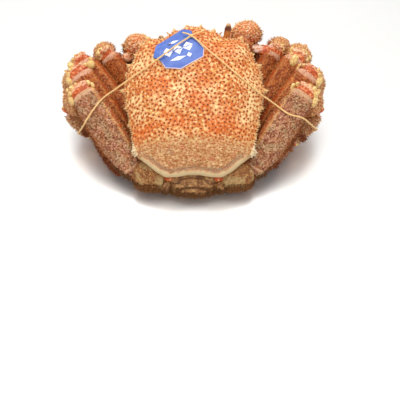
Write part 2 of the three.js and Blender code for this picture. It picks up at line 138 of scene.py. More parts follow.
lights = {  # places and sizes in metres, turns in degrees
    'overhead': {
        'place': (-0.07, 0.2, 0.93), 'turn': (-13, -4.3, 0), 'size': 0.74, 'power': 6.2,
        'tint': (1, 0.985, 0.96)},
    'front': {'place': (0.35, -0.95, 0.9), 'turn': (46, 0, 20), 'size': 0.6, 'power': 1.0, 'tint': (1, 1, 1)},
}
skyLight = 0.8
for lightName, light in lights.items():
    bpy.ops.object.light_add(
        type='AREA', location=light['place'], rotation=[math.radians(t) for t in light['turn']])
    lamp = bpy.context.object
    lamp.name = lightName
    lamp.data.size = light['size']
    lamp.data.energy = light['power']
    lamp.data.color = light['tint']
world = bpy.data.worlds.new('studio')
world.use_nodes = True
world.node_tree.nodes['Background'].inputs['Color'].default_value = (1, 1, 1, 1)
world.node_tree.nodes['Background'].inputs['Strength'].default_value = skyLight
bpy.context.scene.world = world
print('stage lit')


# shader sums written as Python expressions
def tone(code):  # a colour written as in a paint program, in the renderer's own values
    parts = [int(code[i:i + 2], 16) / 255 for i in (0, 2, 4)]
    return (*[v / 12.92 if v <= 0.04045 else ((v + 0.055) / 1.055) ** 2.4 for v in parts], 1)


class Wire:
    def __init__(self, tree, socket=None):
        self.tree = tree
        self.socket = socket

    def make(self, kind, settings, given, out=0):
        node = self.tree.nodes.new(kind)
        for setting, value in settings.items():
            setattr(node, setting, value)
        for key, value in given.items():
            if isinstance(value, Wire):
                self.tree.links.new(value.socket, node.inputs[key])
            else:
                node.inputs[key].default_value = value
        return Wire(self.tree, node.outputs[out])

    def sum(self, operation, *values):
        return self.make('ShaderNodeMath', {'operation': operation}, dict(enumerate(values)))

    def __add__(self, other):
        return self.sum('ADD', self, other)

    __radd__ = __add__

    def __sub__(self, other):
        return self.sum('SUBTRACT', self, other)

    def __rsub__(self, other):
        return self.sum('SUBTRACT', other, self)

    def __mul__(self, other):
        return self.sum('MULTIPLY', self, other)

    __rmul__ = __mul__

    def __abs__(self):
        return self.sum('ABSOLUTE', self)

    def ramp(self, low, high, first=0, last=1):
        return self.make('ShaderNodeMapRange', {'interpolation_type': 'SMOOTHSTEP'}, {
            'Value': self, 'From Min': low, 'From Max': high, 'To Min': first, 'To Max': last})

    def blend(self, first, second):  # two colours mixed by this wire
        return self.make('ShaderNodeMix', {'data_type': 'RGBA'}, {0: self, 6: first, 7: second}, 2)

    def noise(self, size, detail=3):  # size in mm
        return self.make(
            'ShaderNodeTexNoise', {}, {'Vector': self, 'Scale': 1 / (size * mm), 'Detail': detail})

    def cells(self, size, out=0):  # distance from the cells' middles, or with out=1 a colour for each cell
        return self.make('ShaderNodeTexVoronoi', {}, {'Vector': self, 'Scale': 1 / (size * mm)}, out)

    def speckle(self, size):  # a random value for each cell
        return self.make('ShaderNodeSeparateColor', {}, {0: self.cells(size, 1)})


class Finish:  # a material with its shader, its colours, its place wire and its own attributes
    def __init__(self, name, look, **constants):
        self.material = bpy.data.materials.new(name)
        self.material.use_nodes = True
        self.tree = self.material.node_tree
        self.shader = self.tree.nodes['Principled BSDF']
        for socket, value in constants.items():
            self.shader.inputs[socket.replace('_', ' ')].default_value = value
        self.tones = {key: tone(value) for key, value in look.items() if isinstance(value, str)}
        self.wire = Wire(self.tree)
        self.place = self.wire.make('ShaderNodeTexCoord', {}, {}, 'Object')

    def own(self, name, part=None):  # an attribute painted on the points
        output = 'Fac' if part is None else 'Vector'
        wire = self.wire.make('ShaderNodeAttribute', {'attribute_name': name}, {}, output)
        return wire if part is None else self.wire.make('ShaderNodeSeparateXYZ', {}, {0: wire}, part)

    def ownParts(self, name, count=3):
        return [self.own(name, part) for part in range(count)]

    def paint(self, colour, *layers):  # lays colours of the look over each other, each with its mask
        colour = self.tones.get(colour, colour) if isinstance(colour, str) else colour
        for mask, key in layers:
            colour = mask.blend(colour, self.tones[key])
        return colour

    def feed(self, colour, uneven, roughness, height, depth):  # roughness: from and to, depth in mm
        normal = self.wire.make(
            'ShaderNodeBump', {}, {'Height': height, 'Distance': depth * mm, 'Strength': 1})
        rough = uneven.ramp(0.3, 0.7, *roughness)
        for socket, wire in {'Base Color': colour, 'Roughness': rough, 'Normal': normal}.items():
            self.tree.links.new(wire.socket, self.shader.inputs[socket])
        return self.material


# the crab's measures, in mm
body = {'rear': (0.5, -57.7 - midway, 24), 'tilt': 29, 'centre': 62}
shellOutline = [
    (0, 0), (9, -1), (18, -2.8), (26, 0), (34, 6.5), (41, 11.5), (45.5, 16), (46.8, 24), (48, 31), (49.8, 38),
    (50.8, 46), (52.6, 54), (54, 62), (54.6, 69), (53.2, 76), (51.6, 84), (47.8, 91), (45.2, 98), (41.8, 104),
    (36, 108.5), (30.5, 108.5), (25, 109), (20.5, 112), (15.5, 115.5), (10.5, 116.5), (5.5, 119.5), (0, 119),
]
shellTeeth = [  # sideways, forwards, reach
    (46.2, 18, 2.4), (47.6, 29, 1.2), (50, 40, 1.9), (52.4, 53, 2.4), (54.4, 67, 4.6), (52.6, 80, 1.8),
    (50.4, 87, 3.4), (46.4, 96, 1.8), (42, 104, 1.6), (36, 108.5, 4), (15.5, 115.5, 2.8), (5.5, 119.5, 1.6)]
tagOutline = [
    (-9.4, 115), (-1.8, 112), (-0.7, 106), (7.9, 94.8), (7.2, 87.5), (-9.7, 77.3), (-21.5, 78.5),
    (-26.3, 86.4), (-31.2, 88.5), (-29.2, 98.7)]
legs = {  # joints of the right legs from hip to tip, and how far the left ones lie from their mirror image
    'leg_2': {
        'size': 0.9, 'facing': (0.62, -0.45, 0.64),
        'joints': [(27, 19, 31), (42, 14, 24), (67, 53, 54), (79, 78, 42), (66, 48, 6.5), (36, 26, 0.6)],
        'leftShifts': {2: (4, -3, -1), 3: (3, -8, -1), 4: (-1, -5, 0)}},
    'leg_3': {
        'size': 0.98, 'facing': (0, -0.64, 0.77),
        'joints': [(28, -3, 24), (46, -5, 16), (85, 45, 54), (93, 67, 43), (77, 32, 7.5), (44, 9, 0.8)],
        'leftShifts': {2: (7, -2, -2), 3: (1, -16, -8), 4: (-4, -12, 0)}},
    'leg_4': {
        'size': 1, 'facing': (0, -0.64, 0.77),
        'joints': [(28, -24, 19), (47, -25, 13), (93, 26, 54), (101, 27, 33), (73, 4, 11), (47, -21, 8.5)],
        'leftShifts': {2: (-1, 0, 0), 3: (1, 1, 0), 4: (-5, 0, 0)}},
    'leg_5': {
        'size': 1.04, 'facing': (0, -0.64, 0.77),
        'joints': [(23, -51, 14.5), (45, -47, 13), (87, 4, 52), (99, 8, 31), (79, -10, 13), (64, -37, 10)],
        'leftShifts': {2: (1, 1, 0), 3: (1, 1, 0), 4: (1, 8, 0)}},
}
halfSizes = {  # half width and half thickness of each segment
    'ischium': (9.5, 8), 'merus': (12.3, 6.3), 'carpus': (10.6, 8.2), 'propodus': (9.6, 6.5),
    'dactylus': (5.2, 4.4),
}
claw = {
    'hip': (30, 34, 47), 'elbow': (41, 56, 63.5), 'wrist': (46.5, 69, 65.5), 'tip': (12, 62, 10),
    'leftElbow': (2, -9.5, -6), 'leftTip': (3, -7, 0), 'facing': (0.25, 0.9, 0.36), 'overWrist': 0.25,
    'fingerFrom': 0.57,
}
clawSizes = {'merus': (9, 8.5), 'carpus': (12.6, 11.4), 'palm': (14.2, 9.6), 'finger': (5.8, 5.4)}
sides = {'right': 1, 'left': -1}

tiltCos = math.cos(math.radians(body['tilt']))
tiltSin = math.sin(math.radians(body['tilt']))
shellUp = np.array([0, -tiltSin, tiltCos])


def onBody(spots):  # from metres in the part to mm along the shell: sideways, forwards, over its edge
    x, y, z = ((spots / mm) - np.array(body['rear'])).T
    return np.stack([x, y * tiltCos + z * tiltSin, z * tiltCos - y * tiltSin], 1)


def fromBody(spots):
    u, v, w = np.asarray(spots, float).T
    turned = np.stack([u, v * tiltCos - w * tiltSin, v * tiltSin + w * tiltCos], 1)
    return (turned + np.array(body['rear'])) * mm


def edgeRadius(angles):
    outline = np.array(shellOutline + [(-x, y) for x, y in shellOutline[1:-1]], float)
    outline[:, 1] -= body['centre']
    around = np.arctan2(outline[:, 1], outline[:, 0])
    order = np.argsort(around)
    return np.interp(angles, around[order], np.hypot(*outline.T)[order], period=2 * math.pi)


def shellShare(onShell):  # how near to the shell's edge, and the angle round its middle
    angles = np.arctan2(onShell[:, 1] - body['centre'], onShell[:, 0])
    return np.hypot(onShell[:, 0], onShell[:, 1] - body['centre']) / edgeRadius(angles), angles


def fromTagEdge(spots):  # distance from the tag's outline in mm, above 0 under the tag
    nearest, inside = np.full(len(spots), np.inf), np.zeros(len(spots), bool)
    x, y = spots[:, :2].T
    outline = np.array(tagOutline, float)
    for start, end in zip(outline, np.roll(outline, -1, 0)):
        edge = end - start
        share = np.clip(((spots[:, :2] - start) @ edge) / (edge @ edge), 0, 1)
        nearest = np.minimum(nearest, np.linalg.norm(spots[:, :2] - start - share[:, None] * edge, axis=1))
        inside ^= ((start[1] > y) != (end[1] > y)) & (x < edge[0] * (y - start[1]) / edge[1] + start[0])
    return np.where(inside, nearest, -nearest)


limbs = {}  # frame, half sizes and finish of every limb segment, by CAD node


def addLimb(node, segment, side, start, end, facing, halfSize):
    along = unit(end - start)
    facing = np.array(facing) * (side, 1, 1)
    up = unit(facing - along * (facing @ along))
    across = np.cross(up, along)
    limbs[node] = {
        'start': start, 'end': end, 'along': along, 'up': up, 'side': across,
        'length': np.linalg.norm(end - start),
        'wide': halfSize[0], 'thick': halfSize[1], 'segment': segment, 'outward': side,
        'outer': np.sign(across[0] * side),  # which way of side is the crab's outside
        'finish': 'innerMerus' if segment == 'merus' and not node.startswith('leg_5') else segment}


def joint(spot, side, shift):  # a joint of the right side, or of the left one with its shift
    return (np.array(spot, float) + (shift if side < 0 else (0, 0, 0))) * (side, 1, 1) - (0, midway, 0)


for legName, leg in legs.items():
    for sideName, side in sides.items():
        joints = [
            joint(spot, side, leg['leftShifts'].get(index, (0, 0, 0)))
            for index, spot in enumerate(leg['joints'])]
        for segment, start, end in zip(halfSizes, joints, joints[1:]):
            addLimb(f'{legName}_{segment}_{sideName}', segment, side, start, end, leg['facing'],
                    [size * leg['size'] for size in halfSizes[segment]])
for sideName, side in sides.items():
    hip, elbow, wrist, tip = (joint(claw[name], side, shift) for name, shift in (
        ('hip', (0, 0, 0)), ('elbow', claw['leftElbow']), ('wrist', claw['leftElbow']),
        ('tip', claw['leftTip'])))
    over, finger = claw['overWrist'], claw['fingerFrom']
    for segment, start, end in (
            ('merus', hip, elbow), ('carpus', elbow, wrist * (1 + over) - elbow * over), ('palm', wrist, tip),
            ('finger', wrist * (1 - finger) + tip * finger, tip)):
        addLimb(f'claw_{segment}_{sideName}', 'claw' + segment.title(), side, start, end, claw['facing'],
                clawSizes[segment])


def onLimb(limb, spots):  # share along the segment, across its width and through its thickness
    away = spots / mm - limb['start']
    return np.stack([
        away @ limb['along'] / limb['length'], away @ limb['side'] / limb['wide'],
        away @ limb['up'] / limb['thick']], 1)


# solids of the frame, made fine and round
def dressed(node, name, voxel, rounds, swell, relief, grain):
    piece = bpy.data.objects.new(name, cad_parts[node].data.copy())
    bpy.context.collection.objects.link(piece)
    selectOnly(piece)
    bpy.ops.object.mode_set(mode='EDIT')
    bpy.ops.mesh.select_all(action='SELECT')
    bpy.ops.mesh.remove_doubles(threshold=1e-6)
    bpy.ops.object.mode_set(mode='OBJECT')
    modify(piece, 'REMESH', mode='VOXEL', voxel_size=voxel * mm)
    modify(piece, 'SMOOTH', factor=0.5, iterations=rounds)
    if swell:
        modify(piece, 'DISPLACE', strength=swell * mm, mid_level=0)
    roughen(piece, name, relief, grain)
    return piece


# scattering: one small shape, repeated over a surface
def trianglesOf(piece):
    piece.data.calc_loop_triangles()
    flat = np.empty(3 * len(piece.data.loop_triangles), int)
    piece.data.loop_triangles.foreach_get('vertices', flat)
    return flat.reshape(-1, 3)


def spread(piece, perArea):  # random points on a piece, so many on each square mm: places and normals
    corners = trianglesOf(piece)
    spots, ups = places(piece), normals(piece)
    a, b, c = (spots[corners[:, k]] for k in range(3))
    area = np.linalg.norm(np.cross(b - a, c - a), axis=1) / 2
    count = int(area.sum() / mm ** 2 * perArea)
    chosen = dice.choice(len(corners), count, p=area / area.sum())
    s, t = dice.random((2, count))
    over = s + t > 1
    s[over], t[over] = 1 - s[over], 1 - t[over]
    weights = np.stack([1 - s - t, s, t], 1)[:, :, None]
    return (spots[corners[chosen]] * weights).sum(1), unit((ups[corners[chosen]] * weights).sum(1))


def thinned(spots, spacing):  # keeps points no nearer to each other than spacing, which may vary
    spacing = np.broadcast_to(spacing, len(spots))
    keys = np.floor(spots / float(spacing.max())).astype(int)
    kept, grid = [], {}
    near = [(i, j, k) for i in (-1, 0, 1) for j in (-1, 0, 1) for k in (-1, 0, 1)]
    for index, (spot, key, space) in enumerate(zip(spots.tolist(), keys.tolist(), spacing.tolist())):
        others = (other for i, j, k in near for other in grid.get((key[0] + i, key[1] + j, key[2] + k), ()))
        if all(sum((p - q) ** 2 for p, q in zip(spot, other)) >= space * space for other in others):
            grid.setdefault(tuple(key), []).append(spot)
            kept.append(index)
    return np.array(kept, int)


def modelled(add, shape=None):  # a small shape made with Blender's own tools, as points and triangles
    bpy.ops.object.select_all(action='DESELECT')
    add()
    piece = bpy.context.object
    if shape:
        bpy.ops.object.mode_set(mode='EDIT')
        shape(piece)
        bpy.ops.object.mode_set(mode='OBJECT')
    spots, corners = places(piece), trianglesOf(piece)
    bpy.data.objects.remove(piece)
    return spots, corners


def scattered(name, template, spots, leans, widths, lengths, **painted):
    # copies of a template in one mesh: its z follows leans, and each copy has its own painted values
    shape, corners = template
    axis = unit(leans)
    helper = np.where(np.abs(axis[:, 2:3]) < 0.9, [[0, 0, 1.0]], [[1.0, 0, 0]])
    first = unit(np.cross(axis, helper))
    second = np.cross(axis, first)
    turn = dice.random(len(spots)) * 2 * math.pi
    first, second = (
        first * np.cos(turn)[:, None] + second * np.sin(turn)[:, None],
        second * np.cos(turn)[:, None] - first * np.sin(turn)[:, None])
    widths, lengths = (np.broadcast_to(v, len(spots)) * mm for v in (widths, lengths))
    x, y, z = shape.T
    points = (
        spots[:, None] + first[:, None] * (widths[:, None] * x)[..., None]
        + second[:, None] * (widths[:, None] * y)[..., None]
        + axis[:, None] * (lengths[:, None] * z)[..., None])
    faces = (corners[None] + (np.arange(len(spots)) * len(shape))[:, None, None]).reshape(-1, 3)
    mesh = bpy.data.meshes.new(name)
    mesh.from_pydata(points.reshape(-1, 3), [], faces.tolist())
    piece = bpy.data.objects.new(name, mesh)
    bpy.context.collection.objects.link(piece)
    paintPoints(piece, 'tip', np.tile(np.clip(z, 0, 1), len(spots)))
    for key, values in {'shade': dice.random(len(spots)), **painted}.items():
        paintPoints(piece, key, np.repeat(values, len(shape), 0))
    print(name, 'scattered', len(spots))
    return piece


def coneStart(sideCount, top=0.0, depth=1.0):
    return lambda: bpy.ops.mesh.primitive_cone_add(
        vertices=sideCount, radius1=1, radius2=top, depth=depth, location=(0, 0, depth / 2))


def domeTop(rise):
    def shape(piece):
        bpy.ops.mesh.select_all(action='DESELECT')
        bpy.ops.mesh.select_mode(type='FACE')
        bpy.ops.object.mode_set(mode='OBJECT')
        for face in piece.data.polygons:
            face.select = face.normal.z > 0.9
        bpy.ops.object.mode_set(mode='EDIT')
        bpy.ops.mesh.poke(offset=rise)
    return shape


bristleShape = modelled(coneStart(3))
spineShape = modelled(coneStart(5, 0.62, 0.55), domeTop(0.45))
granuleShape = modelled(coneStart(7, 0.6, 0.55), domeTop(0.45))
print('small shapes modelled')


# shell
shellLook = {
    'voxel': 0.85, 'edgeRounds': 2, 'topRounds': 34, 'relief': 0.3, 'grain': 9, 'underTag': 0.8,
    'dots': 3.2, 'dotSpacing': 2.85, 'dotWidth': 1.2, 'dotHeight': 0.85, 'cell': 1.3, 'rearCell': 1.35,
    'rearStretch': (0.76, 1.35, 1.35),
    'cream': 'E2A656', 'peach': 'C8742E', 'orange': 'DE6808', 'white': 'FFE0A0', 'halo': 'CA6014',
    'dark': '501602', 'redDot': '7C2204', 'rear': 'CA9C66', 'rearDeep': '905A22', 'rearPale': 'F0D29A',
    'rearPink': 'CC7E5C', 'rearDot': 'AA5A28', 'rim': 'D4BA8C', 'groove': '95826A',
    'orangePatches': [  # sideways, forwards, reach
        (-31, 64, 9), (1, 55, 8), (26, 46, 8), (-18, 42, 9), (35, 33.5, 8), (-43, 30, 8), (-33, 33, 6),
        (8.5, 69, 7), (21, 38, 8), (-23, 67, 6), (15, 93, 9), (8, 51, 7), (-46, 24, 6), (30, 100, 8),
        (-30, 96, 6), (3, 108, 7), (14, 32, 8), (-6, 36, 7)],
    'whitePatches': [
        (-12, 61, 7), (-10, 51, 5), (39, 42, 7), (-13, 25, 6), (12, 60, 6), (-25.5, 54, 6), (43, 72, 8),
        (36, 96, 6), (-40, 84, 8), (44, 52, 7), (-46, 55, 6), (46, 62, 7), (18, 47, 5), (-4, 73, 5),
        (-42, 44, 6)],
    'swellings': [  # sideways, forwards, reach, height
        (0, 86, 17, 1.2), (0, 52, 11, 1.5), (30, 60, 15, 1.6), (-30, 60, 15, 1.6), (35, 92, 8, 1.2),
        (-36, 92, 7, 1.0), (0, 30, 11, 1.0), (22, 30, 12, 1.0), (-22, 30, 12, 1.0), (15, 103, 7, 0.9),
        (-13, 103, 8, 0.5), (0, 112, 6, 0.5), (13, 68, 5, -1.0), (-13, 67, 5, -1.0), (22, 82, 6, -1.1),
        (12, 40, 6, -0.8), (-12, 40, 6, -0.8)],
}


def patches(onShell, spots):
    return np.clip(sum(
        np.exp(-((onShell[:, 0] - u) ** 2 + (onShell[:, 1] - v) ** 2) / (0.62 * r) ** 2 / 2)
        for u, v, r in spots), 0, 1)


def patchValues(onShell, under):  # orange, white and how far it looks down
    return np.stack([
        patches(onShell, shellLook['orangePatches']), patches(onShell, shellLook['whitePatches']), under], 1)


def shellZones(onShell):  # rear zone, rim band, groove and distance from the edge
    share, angles = shellShare(onShell)
    fromEdge = (1 - share) * edgeRadius(angles)
    back = ramp(-np.sin(angles), 0.72, 0.84)
    rearZone = ramp(onShell[:, 1] + 0.05 * np.abs(onShell[:, 0]), 31, 19)
    rim = back * ramp(fromEdge, 3.3, 2.5)
    groove = back * bump(fromEdge, 4.4, 1.5)
    return rearZone, rim, groove, fromEdge


def dressShell():
    piece = dressed('shell', 'carapace', shellLook['voxel'], shellLook['edgeRounds'], 0, shellLook['relief'],
                    shellLook['grain'])
    spots = onBody(places(piece))
    share, _ = shellShare(spots)
    dome = piece.vertex_groups.new(name='dome')
    for index, weight in enumerate((ramp(share, 0.985, 0.93) * ramp(spots[:, 2], -2.5, 0.5)).tolist()):
        if weight > 0.01:
            dome.add([index], weight, 'REPLACE')
    modify(piece, 'SMOOTH', factor=0.5, iterations=shellLook['topRounds'], vertex_group='dome')
    spots = onBody(places(piece))
    top = normals(piece) @ shellUp
    rearZone, rim, groove, fromEdge = shellZones(spots)
    lift = sum(h * np.exp(-((spots[:, 0] - u) ** 2 + (spots[:, 1] - v) ** 2) / r ** 2)
               for u, v, r, h in shellLook['swellings'])
    lift = lift * ramp(fromEdge, 2, 9) + 0.6 * rim - 0.8 * groove
    covered = ramp(fromTagEdge(spots), 0.3, 2.2)
    lift = lift * (1 - covered) - shellLook['underTag'] * covered
    move = lift * ramp(top, 0.05, 0.4)
    movePlaces(piece, places(piece) + normals(piece) * move[:, None] * mm)
    paintPoints(piece, 'zone', np.stack([rearZone, rim, groove], 1))
    paintPoints(piece, 'patch', patchValues(onBody(places(piece)), ramp(top, 0.0, -0.5)))
    return piece


def shellFinish():
    finish = Finish('boiledCarapace', shellLook, IOR=1.5, Specular_IOR_Level=0.45)
    place = finish.place
    rearZone, rim, groove = finish.ownParts('zone')
    orange, white, under = finish.ownParts('patch')
    dot = finish.own('tip')
    mottle, broad, fine = place.noise(5, 4), place.noise(9, 3), place.noise(1.1, 2)
    speckle = place.speckle(shellLook['cell'])
    grains = place.make('ShaderNodeVectorMath', {'operation': 'MULTIPLY'}, {
        0: place, 1: shellLook['rearStretch']}).speckle(shellLook['rearCell'])
    front = finish.paint(
        'cream', (mottle.ramp(0.4, 0.62), 'peach'), (orange * mottle.ramp(0.3, 0.55, 0.5, 1), 'orange'),
        (broad.ramp(0.58, 0.68) * 0.25, 'orange'), (white * 0.95, 'white'),
        (speckle.ramp(0.55, 0.85) * (0.85 - orange * 0.45), 'white'),
        (speckle.ramp(0.45, 0.12) * 0.9, 'halo'))
    rear = finish.paint(
        'rearDeep', (grains.ramp(0.0, 0.5), 'rear'), (mottle.ramp(0.52, 0.64) * 0.6, 'rearPink'),
        (broad.ramp(0.46, 0.34) * 0.55, 'groove'), (grains.ramp(0.55, 0.95) * 0.85, 'rearPale'))
    colour = finish.paint(
        (rearZone * 0.85).blend(front, rear), (groove * 0.75, 'groove'), (rim * 0.9, 'rim'),
        (under * 0.6, 'rim'),
        (finish.own('nearDot') * (0.55 - rearZone * 0.3), 'halo'),
        (dot.ramp(0.02, 0.3) * (0.9 - rearZone * 0.5), 'halo'))
    dots = finish.paint('dark', (finish.own('shade').ramp(0.3, 0.9), 'redDot'), (rearZone * 0.85, 'rearDot'))
    height = place.cells(shellLook['cell']).ramp(0, 0.6, 1, 0) * (1 - rim) * 0.7 + fine * 0.5
    return finish.feed(dot.ramp(0.25, 0.5).blend(colour, dots), fine, (0.42, 0.62), height, 0.35)


carapace = dressShell()
shellMaterial = shellFinish()
settle(carapace, shellMaterial, 'shell', 'shell')
print('carapace dressed')


def shellDots():
    spots, ups = spread(carapace, shellLook['dots'])
    onShell = onBody(spots)
    rearZone, rim, _, fromEdge = shellZones(onShell)
    wanted = (ups @ shellUp > 0.15) & (rim < 0.3) & (fromEdge > 1.2) & (fromTagEdge(onShell) < -1)
    spots, ups, onShell, rearZone = picked(wanted, spots, ups, onShell, rearZone)
    spacing = shellLook['dotSpacing'] * (1 - 0.32 * rearZone) * (0.92 + 0.16 * dice.random(len(spots)))
    spots, ups, onShell, rearZone = picked(thinned(spots, spacing * mm), spots, ups, onShell, rearZone)
    size = (1 - 0.35 * rearZone) * (0.85 + 0.3 * dice.random(len(spots)))
    piece = scattered(
        'carapaceDots', granuleShape, spots - ups * 0.1 * mm, ups, shellLook['dotWidth'] * size,
        shellLook['dotHeight'] * size, zone=np.stack(shellZones(onShell)[:3], 1),
        patch=patchValues(onShell, 0 * rearZone))
    tree = KDTree(len(spots))
    for index, spot in enumerate(spots):
        tree.insert(spot, index)
    tree.balance()
    away = np.array([tree.find(spot)[2] for spot in places(carapace)]) / mm
    paintPoints(carapace, 'nearDot', ramp(away, 1.9, 1.0))
    paintPoints(piece, 'nearDot', np.full(len(piece.data.vertices), 0.7))
    settle(piece, shellMaterial, 'shell')


shellDots()

# limbs
limbShape = {
    'voxel': 0.95, 'relief': 0.8, 'grain': 4, 'swell': 0.35, 'rounds': 24,
    'swollen': {'ischium': (2.0, 40), 'clawMerus': (1.6, 30), 'clawCarpus': (-0.5, 24)},  # swell and rounds
    'slots': {'clawPalm': 'claw', 'clawCarpus': 'claw', 'clawMerus': 'claw', 'clawFinger': 'finger'},
}
limbLook = {
    'merus': {
        'base': 'BC7A4C', 'deep': '702E0A', 'fleck': 'E8BC94', 'edge': 'D07C30', 'end': 'DCAA80',
        'rust': '94300A',
        'grey': 'B6966A', 'pink': 'CA866A', 'inner': 'B84A10', 'gold': 'EDB468', 'flecks': 0.65,
        'golden': 0.7},
    'innerMerus': {
        'base': 'CC6E2E', 'deep': '7A2A06', 'fleck': 'D68C4A', 'edge': 'D06A20', 'end': 'E4B090',
        'rust': '7E2004',
        'inner': 'B24408', 'gold': 'E8A45C', 'flecks': 0.7, 'golden': 0.4, 'gloss': 0.25},
    'carpus': {
        'base': 'D08A4C', 'deep': 'A44412', 'fleck': 'EECA8E', 'edge': 'E6983C', 'end': 'E8AE84',
        'rust': 'AC3E08'},
    'propodus': {
        'base': 'BA7C46', 'deep': '824014', 'fleck': 'EABC8A', 'edge': 'CC7C34', 'end': 'E2B090',
        'rust': 'A8501C'},
    'dactylus': {
        'base': 'A8683C', 'deep': '6E3012', 'fleck': 'D8AE80', 'edge': 'BC7030', 'end': '3A1E12',
        'rust': '82300C'},
    'ischium': {
        'base': 'AC743C', 'deep': '703C12', 'fleck': 'D6A868', 'edge': 'B67430', 'end': 'CCAE74',
        'rust': '963E12'},
    'clawMerus': {
        'base': 'D88444', 'deep': 'B4440E', 'fleck': 'F8D49A', 'edge': 'D86C20', 'end': 'D08048',
        'rust': 'B83C06'},
    'clawCarpus': {
        'base': 'F8AC72', 'deep': 'D86228', 'fleck': 'FEEECC', 'edge': 'EE9048', 'rust': 'D44C10'},
    'clawPalm': {
        'base': 'E89C60', 'deep': 'C65218', 'fleck': 'FEE6B8', 'edge': 'E88C44', 'end': '4A2418',
        'rust': 'B8420C'},
    'clawFinger': {
        'base': '6A3A26', 'deep': '3A1C12', 'fleck': '9A6244', 'edge': '5A2E1E', 'end': '241410',
        'rust': '4A2418'},
}


def limbFinish(segment):
    look = limbLook[segment]
    finish = Finish(segment + 'Shell', look, IOR=1.5, Specular_IOR_Level=look.get('gloss', 0.4))
    place = finish.place
    along, across, through = finish.ownParts('limb')
    fromStart, toEnd = finish.ownParts('ends', 2)
    mottle, fine = place.noise(4.5, 4), place.noise(0.9, 2)
    grains, speckle = place.cells(1.05), place.speckle(1.05)
    colour = finish.paint('base', (mottle.ramp(0.42, 0.66) * 0.7, 'deep'))
    if segment == 'merus':
        broad = place.noise(8, 3)
        colour = finish.paint(
            colour, (broad.ramp(0.5, 0.6) * 0.75, 'grey'), (broad.ramp(0.46, 0.36) * 0.6, 'pink'))
    # darker red on each segment's lower side: painted shade under the limb, over its own dark red underside
    colour = finish.paint(
        colour, (abs(across).ramp(0.75, 1) * mottle.ramp(0.25, 0.6, 0.4, 0.9), 'edge'),
        (through.ramp(0.4, -0.2) * 0.94, 'rust'),
        (speckle.ramp(0.58, 0.95) * look.get('flecks', 0.85), 'fleck'),
        (speckle.ramp(0.4, 0.08) * 0.9, 'deep'), (grains.ramp(0.5, 0.85) * 0.6, 'deep'))
    if segment in ('dactylus', 'clawPalm', 'clawFinger'):
        colour = finish.paint(colour, (along.ramp(0.72, 0.9), 'end'))
    elif segment == 'ischium':
        colour = finish.paint(colour, (place.noise(9, 2).ramp(0.5, 0.62) * 0.7, 'end'))
    elif segment in ('merus', 'innerMerus'):
        ragged = toEnd + mottle * 5 - 2.5
        bowed = fromStart - across * across * 3
        # the merus's inner edge, facing the next leg and the shell, turns dark red: painted shade in the gap,
        # partly the edge's own colour
        inner = (across + place.noise(2, 3) * 0.3 - 0.15).ramp(-0.62, -0.8)
        line = across.ramp(-0.56, -0.66) * across.ramp(-0.82, -0.72)
        colour = finish.paint(
            colour, (ragged.ramp(5.8, 4) * fine.ramp(0.68, 0.52) * 0.85, 'end'),
            (bowed.ramp(3.6, 4.6) * bowed.ramp(6.4, 5.4) * 0.7, 'end'),
            (inner * mottle.ramp(0.6, 0.4) * 0.85, 'inner'),
            (line * fine.ramp(0.42, 0.56) * look['golden'], 'gold'))
    elif segment != 'clawCarpus':
        colour = finish.paint(colour, ((fromStart.ramp(3.4, 2) + toEnd.ramp(3, 2)) * 0.8, 'end'))
    height = grains.ramp(0.05, 0.6, 1, 0) * 0.8 + fine * 0.5
    return finish.feed(colour, fine, (0.3, 0.5), height, 0.6)


def dressLimb(node, limb):
    first, *others = node.split('_')
    swell, rounds = limbShape['swollen'].get(limb['segment'], (limbShape['swell'], limbShape['rounds']))
    piece = dressed(node, first + ''.join(word.title() for word in others), limbShape['voxel'], rounds, swell,
                    limbShape['relief'], limbShape['grain'])
    onSegment = onLimb(limb, places(piece))
    along = onSegment[:, 0]
    paintPoints(piece, 'limb', onSegment * (1, limb['outer'], 1))
    paintPoints(piece, 'ends', np.stack([along * limb['length'], (1 - along) * limb['length'], 0 * along], 1))
    return settle(piece, limbMaterials[limb['finish']], limbShape['slots'].get(limb['segment'], 'limb'), node)


limbMaterials = {segment: limbFinish(segment) for segment in limbLook}
limbPieces = {node: dressLimb(node, limb) for node, limb in limbs.items()}
print('limbs dressed', len(limbPieces))

# underside
bellyLook = {
    'bellyShell': {
        'cream': 'D8B07A', 'tan': 'B07C46', 'brown': '743E16', 'pale': 'E6CC9C', 'flank': 'BC6A2C'},
    # the tail flap takes the belly's palette made darker: painted shade
    'shadedFlapShell': {'cream': 'B07C46', 'tan': '825020', 'brown': '50260A', 'pale': 'D0A868', 'flank': '8A5626'},
    'flapLine': [  # forwards and up, in mm
        (-51.5, 19.5), (-58, 16.5), (-60.5, 11), (-58.5, 5.2), (-52, 2.6), (-40, 3), (-25, 5.4), (-8, 9),
        (7, 14.5)],
    'flapSeams': [0.09, 0.2, 0.33, 0.47, 0.62, 0.78],  # shares of that line
    'bellySeams': (-62, -38, -8, 22, 48),  # turns round the middle, in degrees
    'flapDepth': 0.7, 'lobeRise': 1.1, 'bellyDepth': 0.9,  # in mm
}


def bellyFinish(name):
    finish = Finish(name, bellyLook[name], IOR=1.5, Specular_IOR_Level=0.45)
    place = finish.place
    mottle, fine, speckle = place.noise(6, 4), place.noise(1, 2), place.speckle(1.3)
    colour = finish.paint(
        'cream', (mottle.ramp(0.38, 0.66), 'tan'),
        (finish.own('flank') * mottle.ramp(0.3, 0.6, 1, 0.6), 'flank'),
        (speckle.ramp(0.4, 0.05) * 0.6, 'brown'), (speckle.ramp(0.7, 1) * 0.6, 'pale'),
        (finish.own('groove') * 0.7, 'brown'))
    return finish.feed(colour, fine, (0.42, 0.6), mottle * 0.4 + fine * 0.6, 0.3)


